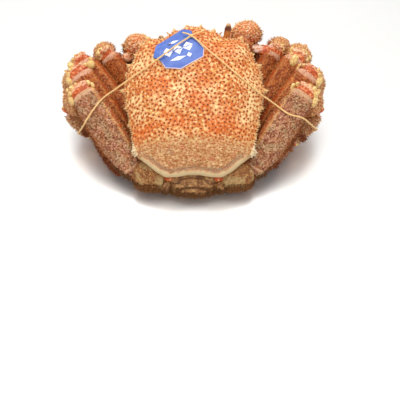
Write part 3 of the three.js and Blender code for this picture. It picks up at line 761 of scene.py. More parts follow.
def flapShare(spots):  # share along the tail flap's middle line
    line = np.array(bellyLook['flapLine'], float) - (midway, 0)
    steps = np.linspace(0, len(line) - 1, 400)
    fine = np.stack([np.interp(steps, np.arange(len(line)), line[:, k]) for k in (0, 1)], 1)
    away = ((spots[:, None, 1:] / mm - fine[None]) ** 2).sum(2)
    return steps[away.argmin(1)] / (len(line) - 1)


def dressFlap():
    flap = dressed('tail_flap', 'tailFlap', voxel=0.7, rounds=24, swell=0.7, relief=0.5, grain=4)
    x, y, z = places(flap).T / mm
    share = flapShare(places(flap)) - 0.03 * (x / 10) ** 2
    groove = sum(bump(share, seam, 0.01) for seam in bellyLook['flapSeams'])
    lobe = (x / 12) ** 2 + ((z - 9) / 5.5) ** 2  # the segment that folds under, as a low oval at the rear
    rear = ramp(-y, 60, 66)
    groove = np.maximum(groove * (1 - rear * (lobe < 1)), rear * bump(lobe, 1, 0.12))
    lift = bellyLook['lobeRise'] * rear * ramp(lobe, 1, 0.3) - bellyLook['flapDepth'] * groove
    rounded = 4.5 * ramp(np.abs(x), 9, 20) ** 2 * ramp(-y, 50, 62)
    movePlaces(flap, places(flap) + normals(flap) * (mm * lift)[:, None] + np.outer(rounded, (0, mm, 0)))
    paintPoints(flap, 'groove', groove)
    return settle(flap, bellyFinish('shadedFlapShell'), 'belly', 'tail_flap')


def dressBelly():
    material = bellyFinish('bellyShell')
    pieces = {'tail_flap': dressFlap()}
    under = dressed('underbody', 'underbodyShell', voxel=0.95, rounds=20, swell=0.2, relief=0.5, grain=6)
    spots = places(under) / mm
    angle = np.arctan2(spots[:, 1] + 20, np.abs(spots[:, 0]) - 8)
    seams = sum(bump(angle, math.radians(turn), 0.025) for turn in bellyLook['bellySeams'])
    seams = seams * ramp(np.abs(spots[:, 0]), 10, 14) * ramp(normals(under)[:, 2], -0.1, -0.5)
    movePlaces(under, places(under) - normals(under) * (bellyLook['bellyDepth'] * mm * seams)[:, None])
    paintPoints(under, 'groove', seams)
    paintPoints(under, 'flank', ramp(normals(under)[:, 2], -0.6, -0.1))
    pieces['underbody'] = settle(under, material, 'belly', 'underbody')
    for kind, voxel in (('mouthpart', 0.6), ('antenna', 0.45)):
        for sideName in sides:
            node = f'{kind}_{sideName}'
            piece = dressed(node, kind + sideName.title(), voxel, rounds=6, swell=0.1, relief=0.3, grain=3)
            for name, value in (('groove', 0.0), ('flank', 0.3)):
                paintPoints(piece, name, np.full(len(piece.data.vertices), value))
            pieces[node] = settle(piece, material, 'belly', node)
    return pieces


bellyPieces = dressBelly()
print('underside dressed')

# eyes
eyeLook = {
    'dark': '5A2410', 'brown': 'A8561E', 'tip': 'DCAE7C', 'stalk': 'C07A3A',
    'voxel': 0.4, 'rounds': 10, 'swell': -0.15, 'relief': 0.6, 'grain': 2}


def dressEyes():
    finish = Finish('eye', eyeLook, IOR=1.5, Coat_Weight=0.08, Specular_IOR_Level=0.3)
    tip, fine = finish.own('tip'), finish.place.noise(0.7, 2)
    ball = finish.paint(
        'dark', (fine.ramp(0.52, 0.68) * 0.6, 'brown'), ((tip + fine * 0.1).ramp(0.82, 0.92) * 0.8, 'tip'))
    stalk = finish.paint('stalk', (fine.ramp(0.4, 0.6) * 0.5, 'brown'))
    colour = (tip + fine * 0.2).ramp(0.78, 0.66).blend(ball, stalk)
    material = finish.feed(colour, fine, (0.3, 0.45), fine, 0.1)
    shape = [eyeLook[key] for key in ('voxel', 'rounds', 'swell', 'relief', 'grain')]
    for sideName in sides:
        piece = dressed(f'eye_{sideName}', 'eye' + sideName.title(), *shape)
        spots = onBody(places(piece))[:, 1]
        paintPoints(piece, 'tip', (spots - spots.min()) / np.ptp(spots))
        settle(piece, material, 'eye', f'eye_{sideName}')


dressEyes()
print('eyes dressed')

# knees: soft skin between the segments, and hard knobs
kneeLook = {
    'skin': 'D2601C', 'skinDeep': 'A63E0C', 'skinPaleAndHighlight': 'F2C090', 'band': 'F0BE92', 'bandDeep': 'BE5C24',
    'knob': 'F0D088', 'knobDeep': 'D09A50', 'ridge': '9A441A', 'ridgeDeep': '581E06',
    'rump': 'B07C44', 'rumpDeep': '7C4A1A', 'pearl': 'EAC6AC', 'pearlDeep': 'C4784E',
    'pieces': {
        'skin': 'jointSkins', 'band': 'jointBands', 'knob': 'jointKnobs', 'rump': 'rumpPads',
        'ridge': 'legRidges',
        'pearl': 'jointPearls'},
    'fineBall': (28, 18), 'knobBall': (14, 10), 'ridgeBall': (24, 40),  # segments and rings
    'skinAlong': 3.6, 'skinShares': (0.6, 0.7, 0.74, 0.62), 'smallKnob': (1.8, 2, 2.6), 'relief': 2.1,
    'knobRelief': 1.3, 'grain': 2.4,
    # what, across, up, along from the knee, and the half sizes: across in half widths, the rest in mm
    'parts': [
        ('skin', 0.06, -0.3, 0.4, (0.64, 1.7, 4.4)), ('band', -0.04, -0.1, 5.4, (0.54, 1.9, 2.8)),
        ('knob', 0.8, -0.5, -1.4, (0.29, 3.1, 4.8)), ('knob', 0.66, -0.2, 3.6, (0.17, 1.9, 2.1)),
        ('knob', 0.42, 0, 6.8, (0.15, 1.8, 2.2)), ('knob', 0.1, 0, 8, (0.14, 1.6, 1.9)),
        ('knob', -0.26, 0, 7.4, (0.15, 1.7, 1.6)), ('knob', -0.56, -0.2, 5, (0.16, 1.7, 2.4)),
        ('knob', 0.3, 0, 10, (0.12, 1.5, 1.4)), ('knob', 0.72, -0.2, 7.4, (0.13, 1.6, 2.4)),
        ('knob', -0.76, -0.3, 1.6, (0.13, 1.5, 2.8))],
    'ridges': {'left': (0.34, 21), 'right': (0.5, 11)},  # share along the merus and half length in mm
    'fillers': [  # soft forms in the gaps: what, side, place, radii, in mm
        ('skin', 1, (19, -63.6, 17.4), (5.5, 3.4, 2.8)), ('skin', -1, (19, -63.6, 17.4), (5.5, 3.4, 2.8)),
        ('rump', 1, (21.5, -65.2, 10), (6, 5, 6.4)), ('rump', -1, (21.5, -65.2, 10), (6, 5, 6.4)),
        ('ridge', -1, (53.5, 39.5, 50), (6, 6, 7)), ('skin', -1, (53, 41, 56), (5, 5, 4.5)),
        ('ridge', 1, (55, 41, 50), (6, 6, 7)), ('skin', 1, (58.5, 44, 55), (6, 5.5, 5.5)),
        ('pearl', 1, (51.5, 42.5, 59.4), (7.5, 5, 2.6)), ('skin', 1, (58.5, 42, 57.6), (7, 5, 3.4)),
        ('pearl', 1, (66, 46, 57.4), (4.5, 4, 3)), ('band', -1, (54.5, 36.5, 55.6), (5, 4.4, 3.6))],
}


def placedBall(name, centre, axes, radii, detail):  # an oval body on given axes, in mm
    bpy.ops.object.select_all(action='DESELECT')
    bpy.ops.mesh.primitive_uv_sphere_add(segments=detail[0], ring_count=detail[1], radius=1)
    piece = bpy.context.object
    piece.name = name
    movePlaces(piece, (places(piece) * radii @ np.array(axes) + centre) * mm)
    return piece


def joined(name, pieces):
    selectOnly(*pieces)
    bpy.ops.object.join()
    piece = bpy.context.object
    piece.name = name
    return piece


def kneeFinish(kind):
    finish = Finish(
        'joint' + kind.title(), kneeLook, IOR=1.45 if kind == 'skin' else 1.5, Specular_IOR_Level=0.5)
    place = finish.place
    if kind != 'skin':
        mottle = place.noise(1.5, 3)
        colour = finish.paint(kind, (mottle.ramp(0.42, 0.62), kind + 'Deep'))
        return finish.feed(colour, mottle, (0.2, 0.38), mottle, 0.15)
    mottle, fine = place.noise(2.2, 4), place.noise(0.9, 2)
    # pale cream patches on the skin: partly its own colour, partly painted highlight
    colour = finish.paint(
        'skinDeep', (mottle.ramp(0.36, 0.56), 'skin'),
        (mottle.ramp(0.52, 0.66) * fine.ramp(0.35, 0.55) * 0.75, 'skinPaleAndHighlight'),
        (fine.ramp(0.45, 0.3) * 0.6, 'skinDeep'))
    return finish.feed(colour, mottle, (0.16, 0.34), fine, 0.4)


def everySurface():
    spots, faces, count = [], [], 0
    for piece in [carapace, *limbPieces.values(), *bellyPieces.values()]:
        quads = np.empty(len(piece.data.loops), int)
        piece.data.loops.foreach_get('vertex_index', quads)
        spots.append(places(piece))
        faces.append(quads.reshape(-1, 4) + count)
        count += len(spots[-1])
    return BVHTree.FromPolygons(np.concatenate(spots).tolist(), np.concatenate(faces).tolist())


surface = everySurface()


def softJoints(chain, made):  # skin between the segments, and a knob on each side of the outer ones
    for first, second, share in zip(chain, chain[1:], kneeLook['skinShares']):
        if second['segment'] == 'carpus':
            continue
        axis = unit(first['along'] + second['along'])
        side = unit(first['side'] + second['side'])
        up = np.cross(axis, side)
        thick = 0.5 * (first['thick'] + second['thick'])
        made['skin'].append(placedBall(
            'skin', second['start'], (side, up, axis),
            (share * first['wide'], share * thick, kneeLook['skinAlong']), kneeLook['fineBall']))
        for way in (-1, 1) if second['segment'] != 'merus' else ():
            at = second['start'] + way * 0.62 * first['wide'] * side - 2 * first['along']
            made['knob'].append(placedBall(
                'knob', at, (side, up, first['along']), kneeLook['smallKnob'], kneeLook['knobBall']))


def kneeTop(merus, size, made):  # what lies on the knee, dropped on it from above
    out = merus['side'] * merus['outer']
    axes = (out, merus['up'], merus['along'])
    for kind, across, rise, ahead, (halfAcross, halfUp, halfAlong) in kneeLook['parts']:
        above = merus['end'] + across * merus['wide'] * out + ahead * size * merus['along']
        hit = surface.ray_cast(Vector((above + 25 * merus['up']) * mm), Vector(-merus['up']), 40 * mm)[0]
        if hit is None:
            continue
        knob = kind == 'knob'
        uneven = 0.75 + 0.5 * dice.random(3) if knob else 0.9 + 0.2 * dice.random(3)
        made[kind].append(placedBall(
            kind, np.array(hit) / mm + rise * merus['up'], axes,
            uneven * (halfAcross * merus['wide'], halfUp, halfAlong),
            kneeLook['knobBall' if knob else 'fineBall']))


def dressKnees():
    made = {kind: [] for kind in kneeLook['pieces']}
    for legName, leg in legs.items():
        for sideName in sides:
            chain = [limbs[f'{legName}_{segment}_{sideName}'] for segment in halfSizes]
            softJoints(chain, made)
            merus = chain[1]
            if legName == 'leg_5':
                ahead, reach = kneeLook['ridges'][sideName]
                made['ridge'].append(placedBall(
                    'ridge', merus['start'] + ahead * merus['length'] * merus['along']
                    - 0.95 * merus['thick'] * merus['up']
                    + 0.9 * merus['wide'] * merus['side'] * merus['outer'],
                    (merus['side'], merus['up'], merus['along']), (3.4, 3.4, 0.9 * reach),
                    kneeLook['ridgeBall']))
            kneeTop(merus, leg['size'], made)
    for kind, side, (x, y, z), radii in kneeLook['fillers']:
        made[kind].append(
            placedBall(kind, np.array((side * x, y, z)), np.eye(3), radii, kneeLook['fineBall']))
    for kind, name in kneeLook['pieces'].items():
        piece = joined(name, made[kind])
        roughen(piece, name, kneeLook['knobRelief' if kind == 'knob' else 'relief'], kneeLook['grain'])
        made[kind] = settle(piece, kneeFinish(kind), 'limb')
    return made


kneePieces = dressKnees()
print('knees dressed')

# bristles, spines and granules
tipLooks = {
    'bristles': {
        'root': '9C4410', 'middle': 'BC6828', 'tip': 'EAB270', 'darkRoot': '622204', 'warmRoot': 'D08A50',
        'warmTip': 'FCDCA8', 'shadeAndToneRoot': '6E2404', 'shadeAndToneTip': 'B45414', 'roughness': (0.42, 0.57)},
    'spines': {
        'root': 'D88A48', 'middle': 'EDBE74', 'tip': 'F8E6B4', 'darkRoot': 'C06A30', 'warmRoot': 'E6CCA0',
        'warmTip': 'FFF4DE', 'shadeAndToneRoot': '98400C', 'shadeAndToneTip': 'D88C48', 'roughness': (0.38, 0.53)},
    'granules': {
        'root': 'E07C48', 'middle': 'F6C084', 'tip': 'FEF0CC', 'darkRoot': 'BC5018',
        'roughness': (0.4, 0.55)},
    'legGranules': {
        'root': '96501F', 'middle': 'BC7442', 'tip': 'D69C68', 'darkRoot': '74300A', 'warmRoot': '6E2C0C',
        'warmTip': '9A5A30', 'shadeAndToneRoot': '8A340A', 'shadeAndToneTip': 'C06828', 'roughness': (0.42, 0.57)},
    # the fringe's near-black roots and its dark short hairs are painted shadow under the rear edge; the pale
    # tips are the hairs' own
    'fringeAndShadow': {
        'root': '421A08', 'middle': '94602C', 'tip': 'F6DCA4', 'darkRoot': '200A02', 'shadeAndToneRoot': '1E0A02',
        'shadeAndToneTip': '4E2810', 'roughness': (0.5, 0.65)},
}


def tippedFinish(name):
    finish = Finish(name, tipLooks[name], IOR=1.5, Specular_IOR_Level=0.25)
    tip, fine = finish.own('tip'), finish.place.noise(3, 2)
    colour = finish.paint(
        'darkRoot', (finish.own('shade').ramp(0.2, 0.9), 'root'), (tip.ramp(0.05, 0.5), 'middle'),
        (tip.ramp(0.5, 0.95), 'tip'))
    if 'warmRoot' in finish.tones:
        warm = finish.paint('warmRoot', (tip.ramp(0.2, 0.9), 'warmTip'))
        colour = finish.own('warm').blend(colour, warm)
    # hairs and points marked by 'gap' get darker roots and tips: painted shade between and under the legs,
    # and on some pieces a darker tone of their own
    if 'shadeAndToneRoot' in finish.tones:
        gap = finish.paint('shadeAndToneRoot', (tip.ramp(0.3, 1), 'shadeAndToneTip'))
        colour = (finish.own('gap') * 0.85).blend(colour, gap)
    return finish.feed(colour, fine, tipLooks[name]['roughness'], fine, 0.05)


tipMaterials = {name: tippedFinish(name) for name in tipLooks}


def withRoom(spots, ups, reach):  # the points that have nothing in front of them for so many mm
    starts = (spots + ups * 0.25 * mm).tolist()
    return picked(np.array([
        surface.ray_cast(Vector(start), Vector(up), reach * mm)[0] is None
        for start, up in zip(starts, ups.tolist())]), spots, ups)


hairLook = {
    'room': 1.6, 'sunk': 0.15, 'wild': 0.28,
    'width': (0.36, 0.08),  # at no length, and more for each mm of length
    'ridge': 2.2, 'ridgeLength': (2.4, 3.6), 'tuftWide': 1.8, 'tuftLength': (4, 4),
    'segments': {  # bristles on each square mm, length, lean along the segment and share of pale ones
        'merus': (0.75, 2.8, 0.5, 0.12), 'carpus': (0.5, 3.0, 0.25, 0.9), 'propodus': (0.4, 2.6, 0.35, 0.85),
        'dactylus': (0.6, 2.5, 0.7, 0.2), 'ischium': (0.8, 3.0, 0.4, 0.4), 'clawMerus': (0.7, 3.4, 0.3, 0.5),
        'clawCarpus': (0.45, 3.2, 0.1, 1), 'clawPalm': (0.4, 2.8, 0.2, 1), 'clawFinger': (0.06, 1.2, 0.5, 0)},
    'tufts': [  # long hairs: side, place in mm, which way, how many
        (-1, (88, -16, 18), (0.8, -0.6, -0.15), 90), (1, (88, -18, 17), (0.75, -0.65, -0.2), 60),
        (-1, (66, -44, 12), (0.4, -0.8, -0.4), 60), (1, (66, -44, 12), (0.4, -0.8, -0.4), 60)],
}


def segmentBristles(node, limb):
    segment, merus = limb['segment'], limb['segment'] == 'merus'
    density, length, lean, pale = hairLook['segments'][segment]
    spots, ups = withRoom(*spread(limbPieces[node], density), hairLook['room'])
    share, across, through = onLimb(limb, spots).T
    keep = (share > 0.04) & (share < (1.3 if segment == 'clawCarpus' else 0.95))
    spots, ups, through, across = picked(keep, spots, ups, through, across)
    leans = ups + limb['along'] * lean * (0.3 + 0.9 * dice.random((len(spots), 1)))
    leans = leans + dice.normal(0, hairLook['wild'], spots.shape)
    longer = (0.45 if merus else 0.75) + 0.9 * ramp(through, 0.3, -0.5)
    longer = longer + 0.6 * ramp(np.abs(across), 0.65, 0.95)
    hang = ramp(across * limb['outer'], 0.5, 0.9) * ramp(through, 0.5, -0.1) * (limb['finish'] == 'merus')
    leans = leans * (1 - 0.5 * hang[:, None]) + hang[:, None] * (0.5 * limb['outward'], -0.7, -0.35)
    lengths = length * (longer + hang) * (0.5 + 0.8 * dice.random(len(spots)))
    # pale hairs: each segment's share of them is its own colour; fewer of them towards the lower side is
    # painted shade
    warm = pale * ramp(through, -0.4, 0.3) * (0.5 + 0.5 * dice.random(len(spots)))
    # gap: hairs darker on the limb's lower side and on the inner meri, painted shade between and under the
    # legs
    gap = np.maximum(ramp(through, 0.15, -0.5), 0.55 * (limb['finish'] == 'innerMerus')) * merus
    return spots - ups * hairLook['sunk'] * mm, leans, lengths, warm, gap


def limbBristles():
    groups = {'legBristlesRight': [], 'legBristlesLeft': [], 'clawBristles': []}
    for node, limb in limbs.items():
        leg = 'legBristlesRight' if limb['outward'] > 0 else 'legBristlesLeft'
        groups['clawBristles' if node.startswith('claw') else leg].append(segmentBristles(node, limb))
    spots, ups = spread(kneePieces['ridge'], hairLook['ridge'])
    shortest, more = hairLook['ridgeLength']
    groups['legBristlesLeft'].append((
        spots, 0.7 * ups + (0, -0.6, -0.3) + dice.normal(0, 0.3, spots.shape),
        shortest + more * dice.random(len(spots)), np.zeros(len(spots)), np.full(len(spots), 0.7)))
    shortest, more = hairLook['tuftLength']
    for side, place, away, count in hairLook['tufts']:
        spots = np.array([(side * place[0], *place[1:])]) * mm
        spots = spots + dice.normal(0, hairLook['tuftWide'] * mm, (count, 3))
        near = np.array([surface.find_nearest(spot)[0] for spot in spots.tolist()])
        groups['legBristlesLeft'].append((
            near, (side * away[0], *away[1:]) + dice.normal(0, 0.3, near.shape),
            shortest + more * dice.random(count), np.full(count, 0.1), np.full(count, 0.8)))
    narrowest, wider = hairLook['width']
    for name, parts in groups.items():
        spots, leans, lengths, warm, gap = stacked(parts)
        piece = scattered(
            name, bristleShape, spots, leans, narrowest + wider * lengths, lengths, warm=warm, gap=gap)
        settle(piece, tipMaterials['bristles'], 'claw' if name.startswith('claw') else 'limb')


granuleLook = {
    'density': 0.9, 'room': 1, 'sunk': 0.15, 'tall': 1.25, 'ends': {'clawPalm': 0.62, 'clawCarpus': 1.3},
    'granules': {  # spacing and half width in mm
        'clawCarpus': (2.1, 1.15), 'clawPalm': (2.2, 1.1), 'carpus': (2.7, 1.0), 'clawMerus': (2.6, 1.0)},
    'legGranules': {'merus': (2.1, 0.48), 'propodus': (2.4, 0.75), 'ischium': (2.9, 0.7)},
}


def limbGranules(name, kind):
    parts = []
    for node, limb in limbs.items():
        if limb['segment'] not in granuleLook[kind]:
            continue
        spacing, width = granuleLook[kind][limb['segment']]
        spots, ups = spread(limbPieces[node], granuleLook['density'])
        share, _, through = onLimb(limb, spots).T
        keep = (share > 0.08) & (share < granuleLook['ends'].get(limb['segment'], 0.94)) & (through > -0.5)
        spots, ups = withRoom(*picked(keep, spots, ups), granuleLook['room'])
        spots, ups = picked(thinned(spots, spacing * mm), spots, ups)
        size = width * (0.75 + 0.5 * dice.random(len(spots)))
        gap, warm = (np.full(len(spots), 1.0 * (limb['finish'] == look)) for look in ('innerMerus', 'merus'))
        parts.append((spots - ups * granuleLook['sunk'] * mm, ups + limb['along'] * 0.25, size, gap, warm))
    spots, leans, sizes, gap, warm = stacked(parts)
    piece = scattered(
        name, granuleShape, spots, leans, sizes, sizes * granuleLook['tall'], gap=gap, warm=warm)
    return settle(piece, tipMaterials[kind], 'limb')


spineLook = {'density': 1.5, 'spacing': 2.4, 'room': 1.2, 'sunk': 0.3, 'wild': 0.12, 'clawLonger': 1.35}


def edgeSpines():
    parts = []
    for node, limb in limbs.items():
        segment, merus = limb['segment'], limb['segment'] == 'merus'
        if segment not in ('merus', 'carpus', 'propodus', 'clawCarpus', 'clawPalm'):
            continue
        spots, ups = spread(limbPieces[node], spineLook['density'])
        share, across, through = onLimb(limb, spots).T
        edge = ramp(np.abs(across), 0.82, 0.95)
        if segment not in ('merus', 'propodus'):  # all round the wrist
            edge = np.maximum(edge, (share < 0.7) * (dice.random(len(share)) < 0.6))
        keep = (share > 0.05) & (share < 0.95) & (through > (0.05 if merus else -0.35)) & (edge > 0.5)
        spots, ups = withRoom(*picked(keep, spots, ups), spineLook['room'])
        spots, ups = picked(thinned(spots, spineLook['spacing'] * mm), spots, ups)
        longer = spineLook['clawLonger'] if segment in ('clawPalm', 'clawCarpus') else 1
        parts.append((
            spots - ups * spineLook['sunk'] * mm,
            ups + 0.5 * limb['along'] + dice.normal(0, spineLook['wild'], spots.shape),
            (0.65 - 0.2 * merus) + 0.4 * dice.random(len(spots)),
            longer * (1.8 + 1.9 * dice.random(len(spots))),
            np.full(len(spots), 0.75 * merus)))
    spots, leans, widths, lengths, gap = stacked(parts)
    piece = scattered('edgeSpines', spineShape, spots, leans, widths, lengths,
                      warm=0.3 * dice.random(len(spots)), gap=gap)
    return settle(piece, tipMaterials['spines'], 'limb')


def outwards(angles, rise):  # directions in the part, along the shell at these angles round its middle
    turned = np.stack([np.cos(angles), np.sin(angles), rise + 0 * angles], 1)
    return unit(fromBody(turned) - fromBody([(0, 0, 0)]))


marginLook = {'density': 3, 'spacing': 1.5, 'reach': 1.3, 'wild': 0.15, 'corner': (45, 18)}


def marginSpines():  # pale points along the shell's edge, and its teeth
    spots, ups = spread(carapace, marginLook['density'])
    onShell = onBody(spots)
    _, rim, _, fromEdge = shellZones(onShell)
    _, angles = shellShare(onShell)
    keep = (fromEdge < marginLook['reach']) & (onShell[:, 2] > -3) & (rim < 0.05)
    spots, ups, onShell, angles = picked(keep, spots, ups, onShell, angles)
    kept = thinned(spots, marginLook['spacing'] * mm)
    spots, ups, onShell, angles = picked(kept, spots, ups, onShell, angles)
    leans = unit(outwards(angles, 0) + 0.6 * ups + dice.normal(0, marginLook['wild'], spots.shape))
    cornerSide, cornerAhead = marginLook['corner']
    corner = bump(np.abs(onShell[:, 0]), cornerSide, 6) * bump(onShell[:, 1], cornerAhead, 7)
    lengths = (1.2 + 1.8 * dice.random(len(kept))) * (1 + 0.4 * corner)
    widths = 0.6 + 0.3 * dice.random(len(kept)) + 0.7 * corner
    teeth = np.array([(side * x, y) for x, y, _ in shellTeeth for side in sides.values()], float)
    reach = np.repeat([tooth[2] for tooth in shellTeeth], 2)
    toothLeans = outwards(np.arctan2(teeth[:, 1] - body['centre'], teeth[:, 0]), 0.25)
    toothRoots = fromBody(np.column_stack([teeth, 4 * ramp(teeth[:, 1], 60, 120) + 0.2])) - toothLeans * mm
    spots, leans, widths, lengths, warm = stacked([
        (spots - leans * 0.25 * mm, leans, widths, lengths, 0.3 + corner),
        (toothRoots, toothLeans, 0.55 * reach + 0.6, reach * 1.3 + 1.8, 0.15 + 0 * reach)])
    piece = scattered('shellPoints', spineShape, spots, leans, widths, lengths,
                      warm=np.clip(warm, 0, 1), gap=np.zeros(len(spots)))
    return settle(piece, tipMaterials['spines'], 'shell')


undersideLook = {'density': 0.5, 'room': 1.4, 'wild': 0.25, 'width': 0.4, 'warm': 0.2}


def bellyBristles():
    parts = []
    for node, piece in bellyPieces.items():
        if node.startswith('antenna'):
            continue
        spots, ups = spread(piece, undersideLook['density'])
        wanted = dice.random(len(spots)) < (
            0.8 if node == 'tail_flap' else 0.25 + 0.6 * ramp(ups[:, 2], -0.6, -0.1))
        spots, ups = withRoom(*picked(wanted, spots, ups), undersideLook['room'])
        back = ramp(spots[:, 1] / mm, -48, -60)
        low = ramp(spots[:, 2] / mm, 9, 4)
        leans = ups + (0, -0.5, -0.6) * (0.3 + 0.7 * back[:, None])
        leans = leans + dice.normal(0, undersideLook['wild'], spots.shape)
        parts.append((spots, leans, (1.2 + 1.6 * dice.random(len(spots))) * (1 + 0.9 * back * low)))
    spots, leans, lengths = stacked(parts)
    tall = spots[:, 2] + unit(leans)[:, 2] * lengths * mm > 0.2 * mm
    spots, leans, lengths = picked(tall, spots, leans, lengths)
    piece = scattered('bellyBristles', bristleShape, spots, leans, undersideLook['width'], lengths,
                      warm=np.full(len(spots), undersideLook['warm']), gap=np.zeros(len(spots)))
    return settle(piece, tipMaterials['bristles'], 'belly')


fringeLook = {
    'density': 2, 'below': 18, 'behind': -32, 'lean': (0, -0.9, -0.18), 'wild': 0.24, 'sunk': 0.2,
    'longOnes': 0.45,
    'short': (2, 2), 'long': (4.4, 3.4), 'width': (0.28, 0.04),  # shortest and how much more, in mm
    'nodes': (
        'tail_flap', 'underbody', 'rump', 'leg_5_ischium_right', 'leg_5_ischium_left', 'leg_5_merus_right',
        'leg_5_merus_left'),
}


def rearFringe():  # bristles that hang below the rear edge: short near-black ones, a painted shadow under the edge, and long ones with pale tips
    pieces = {**limbPieces, **bellyPieces, **kneePieces}
    parts = []
    for node in fringeLook['nodes']:
        spots, ups = spread(pieces[node], fringeLook['density'])
        _, y, z = spots.T / mm
        keep = (ups[:, 1] < -0.2) & (ups[:, 2] < 0.3) & (z < fringeLook['below']) & (y < fringeLook['behind'])
        spots, ups = picked(keep, spots, ups)
        leans = 0.6 * ups + fringeLook['lean'] + dice.normal(0, fringeLook['wild'], spots.shape)
        room = (spots[:, 2] / mm - 0.3) / np.maximum(-unit(leans)[:, 2], 0.1)
        short = dice.random(len(spots)) > fringeLook['longOnes']
        lengths = np.where(short, *(
            least + more * dice.random(len(spots))
            for least, more in (fringeLook['short'], fringeLook['long'])))
        parts.append((spots - ups * fringeLook['sunk'] * mm, leans, np.minimum(lengths, room), 1.0 * short))
    spots, leans, lengths, short = stacked(parts)
    narrowest, wider = fringeLook['width']
    piece = scattered(
        'rearFringe', bristleShape, spots, leans, narrowest + wider * lengths, lengths, gap=short)
    return settle(piece, tipMaterials['fringeAndShadow'], 'belly')


limbBristles()
limbGranules('limbGranules', 'granules')
limbGranules('legGranules', 'legGranules')
edgeSpines()
marginSpines()
bellyBristles()
rearFringe()

# tag
tagLook = {
    'blue': '5372C2', 'deep': '4664B6', 'white': 'FAFAFF', 'edge': 'F2DCE6', 'middle': (-12, 95), 'turn': 18,
    'marks': [  # plain lozenges: place on the tag, half width and half height, in mm
        ((-8.4, -0.6), 4.3, 4.2), ((-0.4, -0.6), 3.8, 4.6), ((7.6, -0.6), 4.3, 4.2), ((-2.6, -8.4), 6.4, 1.7),
        ((-1.6, 7.2), 4.2, 1.3), ((6.4, -8.2), 2, 2)],
}


def tagFinish():
    finish = Finish('tagPaper', tagLook, IOR=1.45, Coat_Roughness=0.2)
    x, y, rim = finish.ownParts('onTag')
    mottle = finish.place.noise(6, 3)
    marks = None
    for (middleX, middleY), halfWide, halfHigh in tagLook['marks']:
        offX, offY = (x - middleX) * (1 / halfWide), (y - middleY) * (1 / halfHigh)
        mark = (abs(offX) + abs(offY)).ramp(1.08, 0.92)
        marks = mark if marks is None else marks.sum('MAXIMUM', marks, mark)
    waves = x * 1.3
    wave = y + 0.6 + waves.sum('SINE', waves) * 0.5  # a thin line that crosses the marks
    colour = finish.paint(
        'blue', (mottle.ramp(0.3, 0.7), 'deep'), (marks * abs(wave).ramp(0.35, 0.6), 'white'),
        (rim.ramp(0.6, 0.25) * (y - x * 0.5).ramp(3, -3), 'edge'))
    return finish.feed(colour, mottle, (0.32, 0.45), finish.place.noise(1.2, 3), 0.04)


def dressTag():
    piece = dressed('tag', 'paperTag', voxel=0.23, rounds=4, swell=0.1, relief=0.12, grain=12)
    spots = onBody(places(piece))
    x, y = (spots[:, :2] - tagLook['middle']).T
    turnCos, turnSin = math.cos(math.radians(tagLook['turn'])), math.sin(math.radians(tagLook['turn']))
    paintPoints(piece, 'onTag', np.stack([
        x * turnCos + y * turnSin, y * turnCos - x * turnSin, fromTagEdge(spots)], 1))
    return settle(piece, tagFinish(), 'tag', 'tag')


dressTag()
print('tag dressed')

# string
stringLook = {
    'radius': 0.66, 'strands': 3, 'strandRadius': 0.4, 'lay': 3.6, 'step': 0.5, 'pale': 'FCDC9C',
    'deep': 'E4A860',
    'route': [
        (-1.9, 25.4, 90.6), (-11.2, 18.7, 88.2), (-19.9, 12, 85.5), (-27.5, 7.9, 81.8), (-33.6, 6.4, 77.5),
        (-39.7, 5, 73.3), (-46.4, 4.1, 68.5), (-50.5, 3.9, 65.3), (-60.6, 0.5, 59.1), (-70.7, -3.3, 53.1),
        (-78, -13.2, 49.5), (-83.5, -19.1, 43.7), (-85.6, -19.7, 40.2), (-90.3, -12.9, 28.6),
        (-94.9, -6, 17.1), (-94.6, -3, 13.8), (-91.4, -2, 10.9), (-83.5, -2, 8.1), (-64.8, -2, 4.5),
        (-43, -2, 4.4), (-21, -2, 4.4), (0, -2, 4.4), (22, -2, 4.4), (45, -2, 4.4), (67.4, -2, 4.4),
        (72, -2, 5.3), (92.6, -2, 12.5), (98, -2, 15.6), (101, -3.4, 19), (100.5, -6.2, 22.3),
        (94.5, -11.4, 31.8), (88.6, -16.3, 41.4), (84.4, -17.2, 45.4), (74.2, -15.8, 47.9),
        (66.1, -8.9, 49.5), (59.1, -7.1, 54.4), (52.2, -5.6, 59.2), (48.3, -5.4, 62.9), (42.8, -4, 67.6),
        (33.8, -0.2, 73.9), (21.5, 7.2, 81.1), (9.2, 15.8, 87.3), (4, 20.7, 89.4), (-0.9, 25.4, 90.6)],
    'ends': [
        [(-1.6, 25.5, 90.7), (1.2, 27, 91.4), (4.6, 29.6, 91), (8.6, 34.2, 89.6)],
        [(-1.2, 25.5, 90.7), (-4.2, 27.2, 91.3), (-8.2, 29.6, 90.7)]],
    'knot': (-1.4, 25.6, 90.7), 'knotRadius': 1.0, 'knotStrand': 0.5, 'squashed': 0.8,
    'knotTurns': ((1, 0.25, 0.3), (-0.4, 1, 0.25), (0.5, 0.6, -0.5)),
}


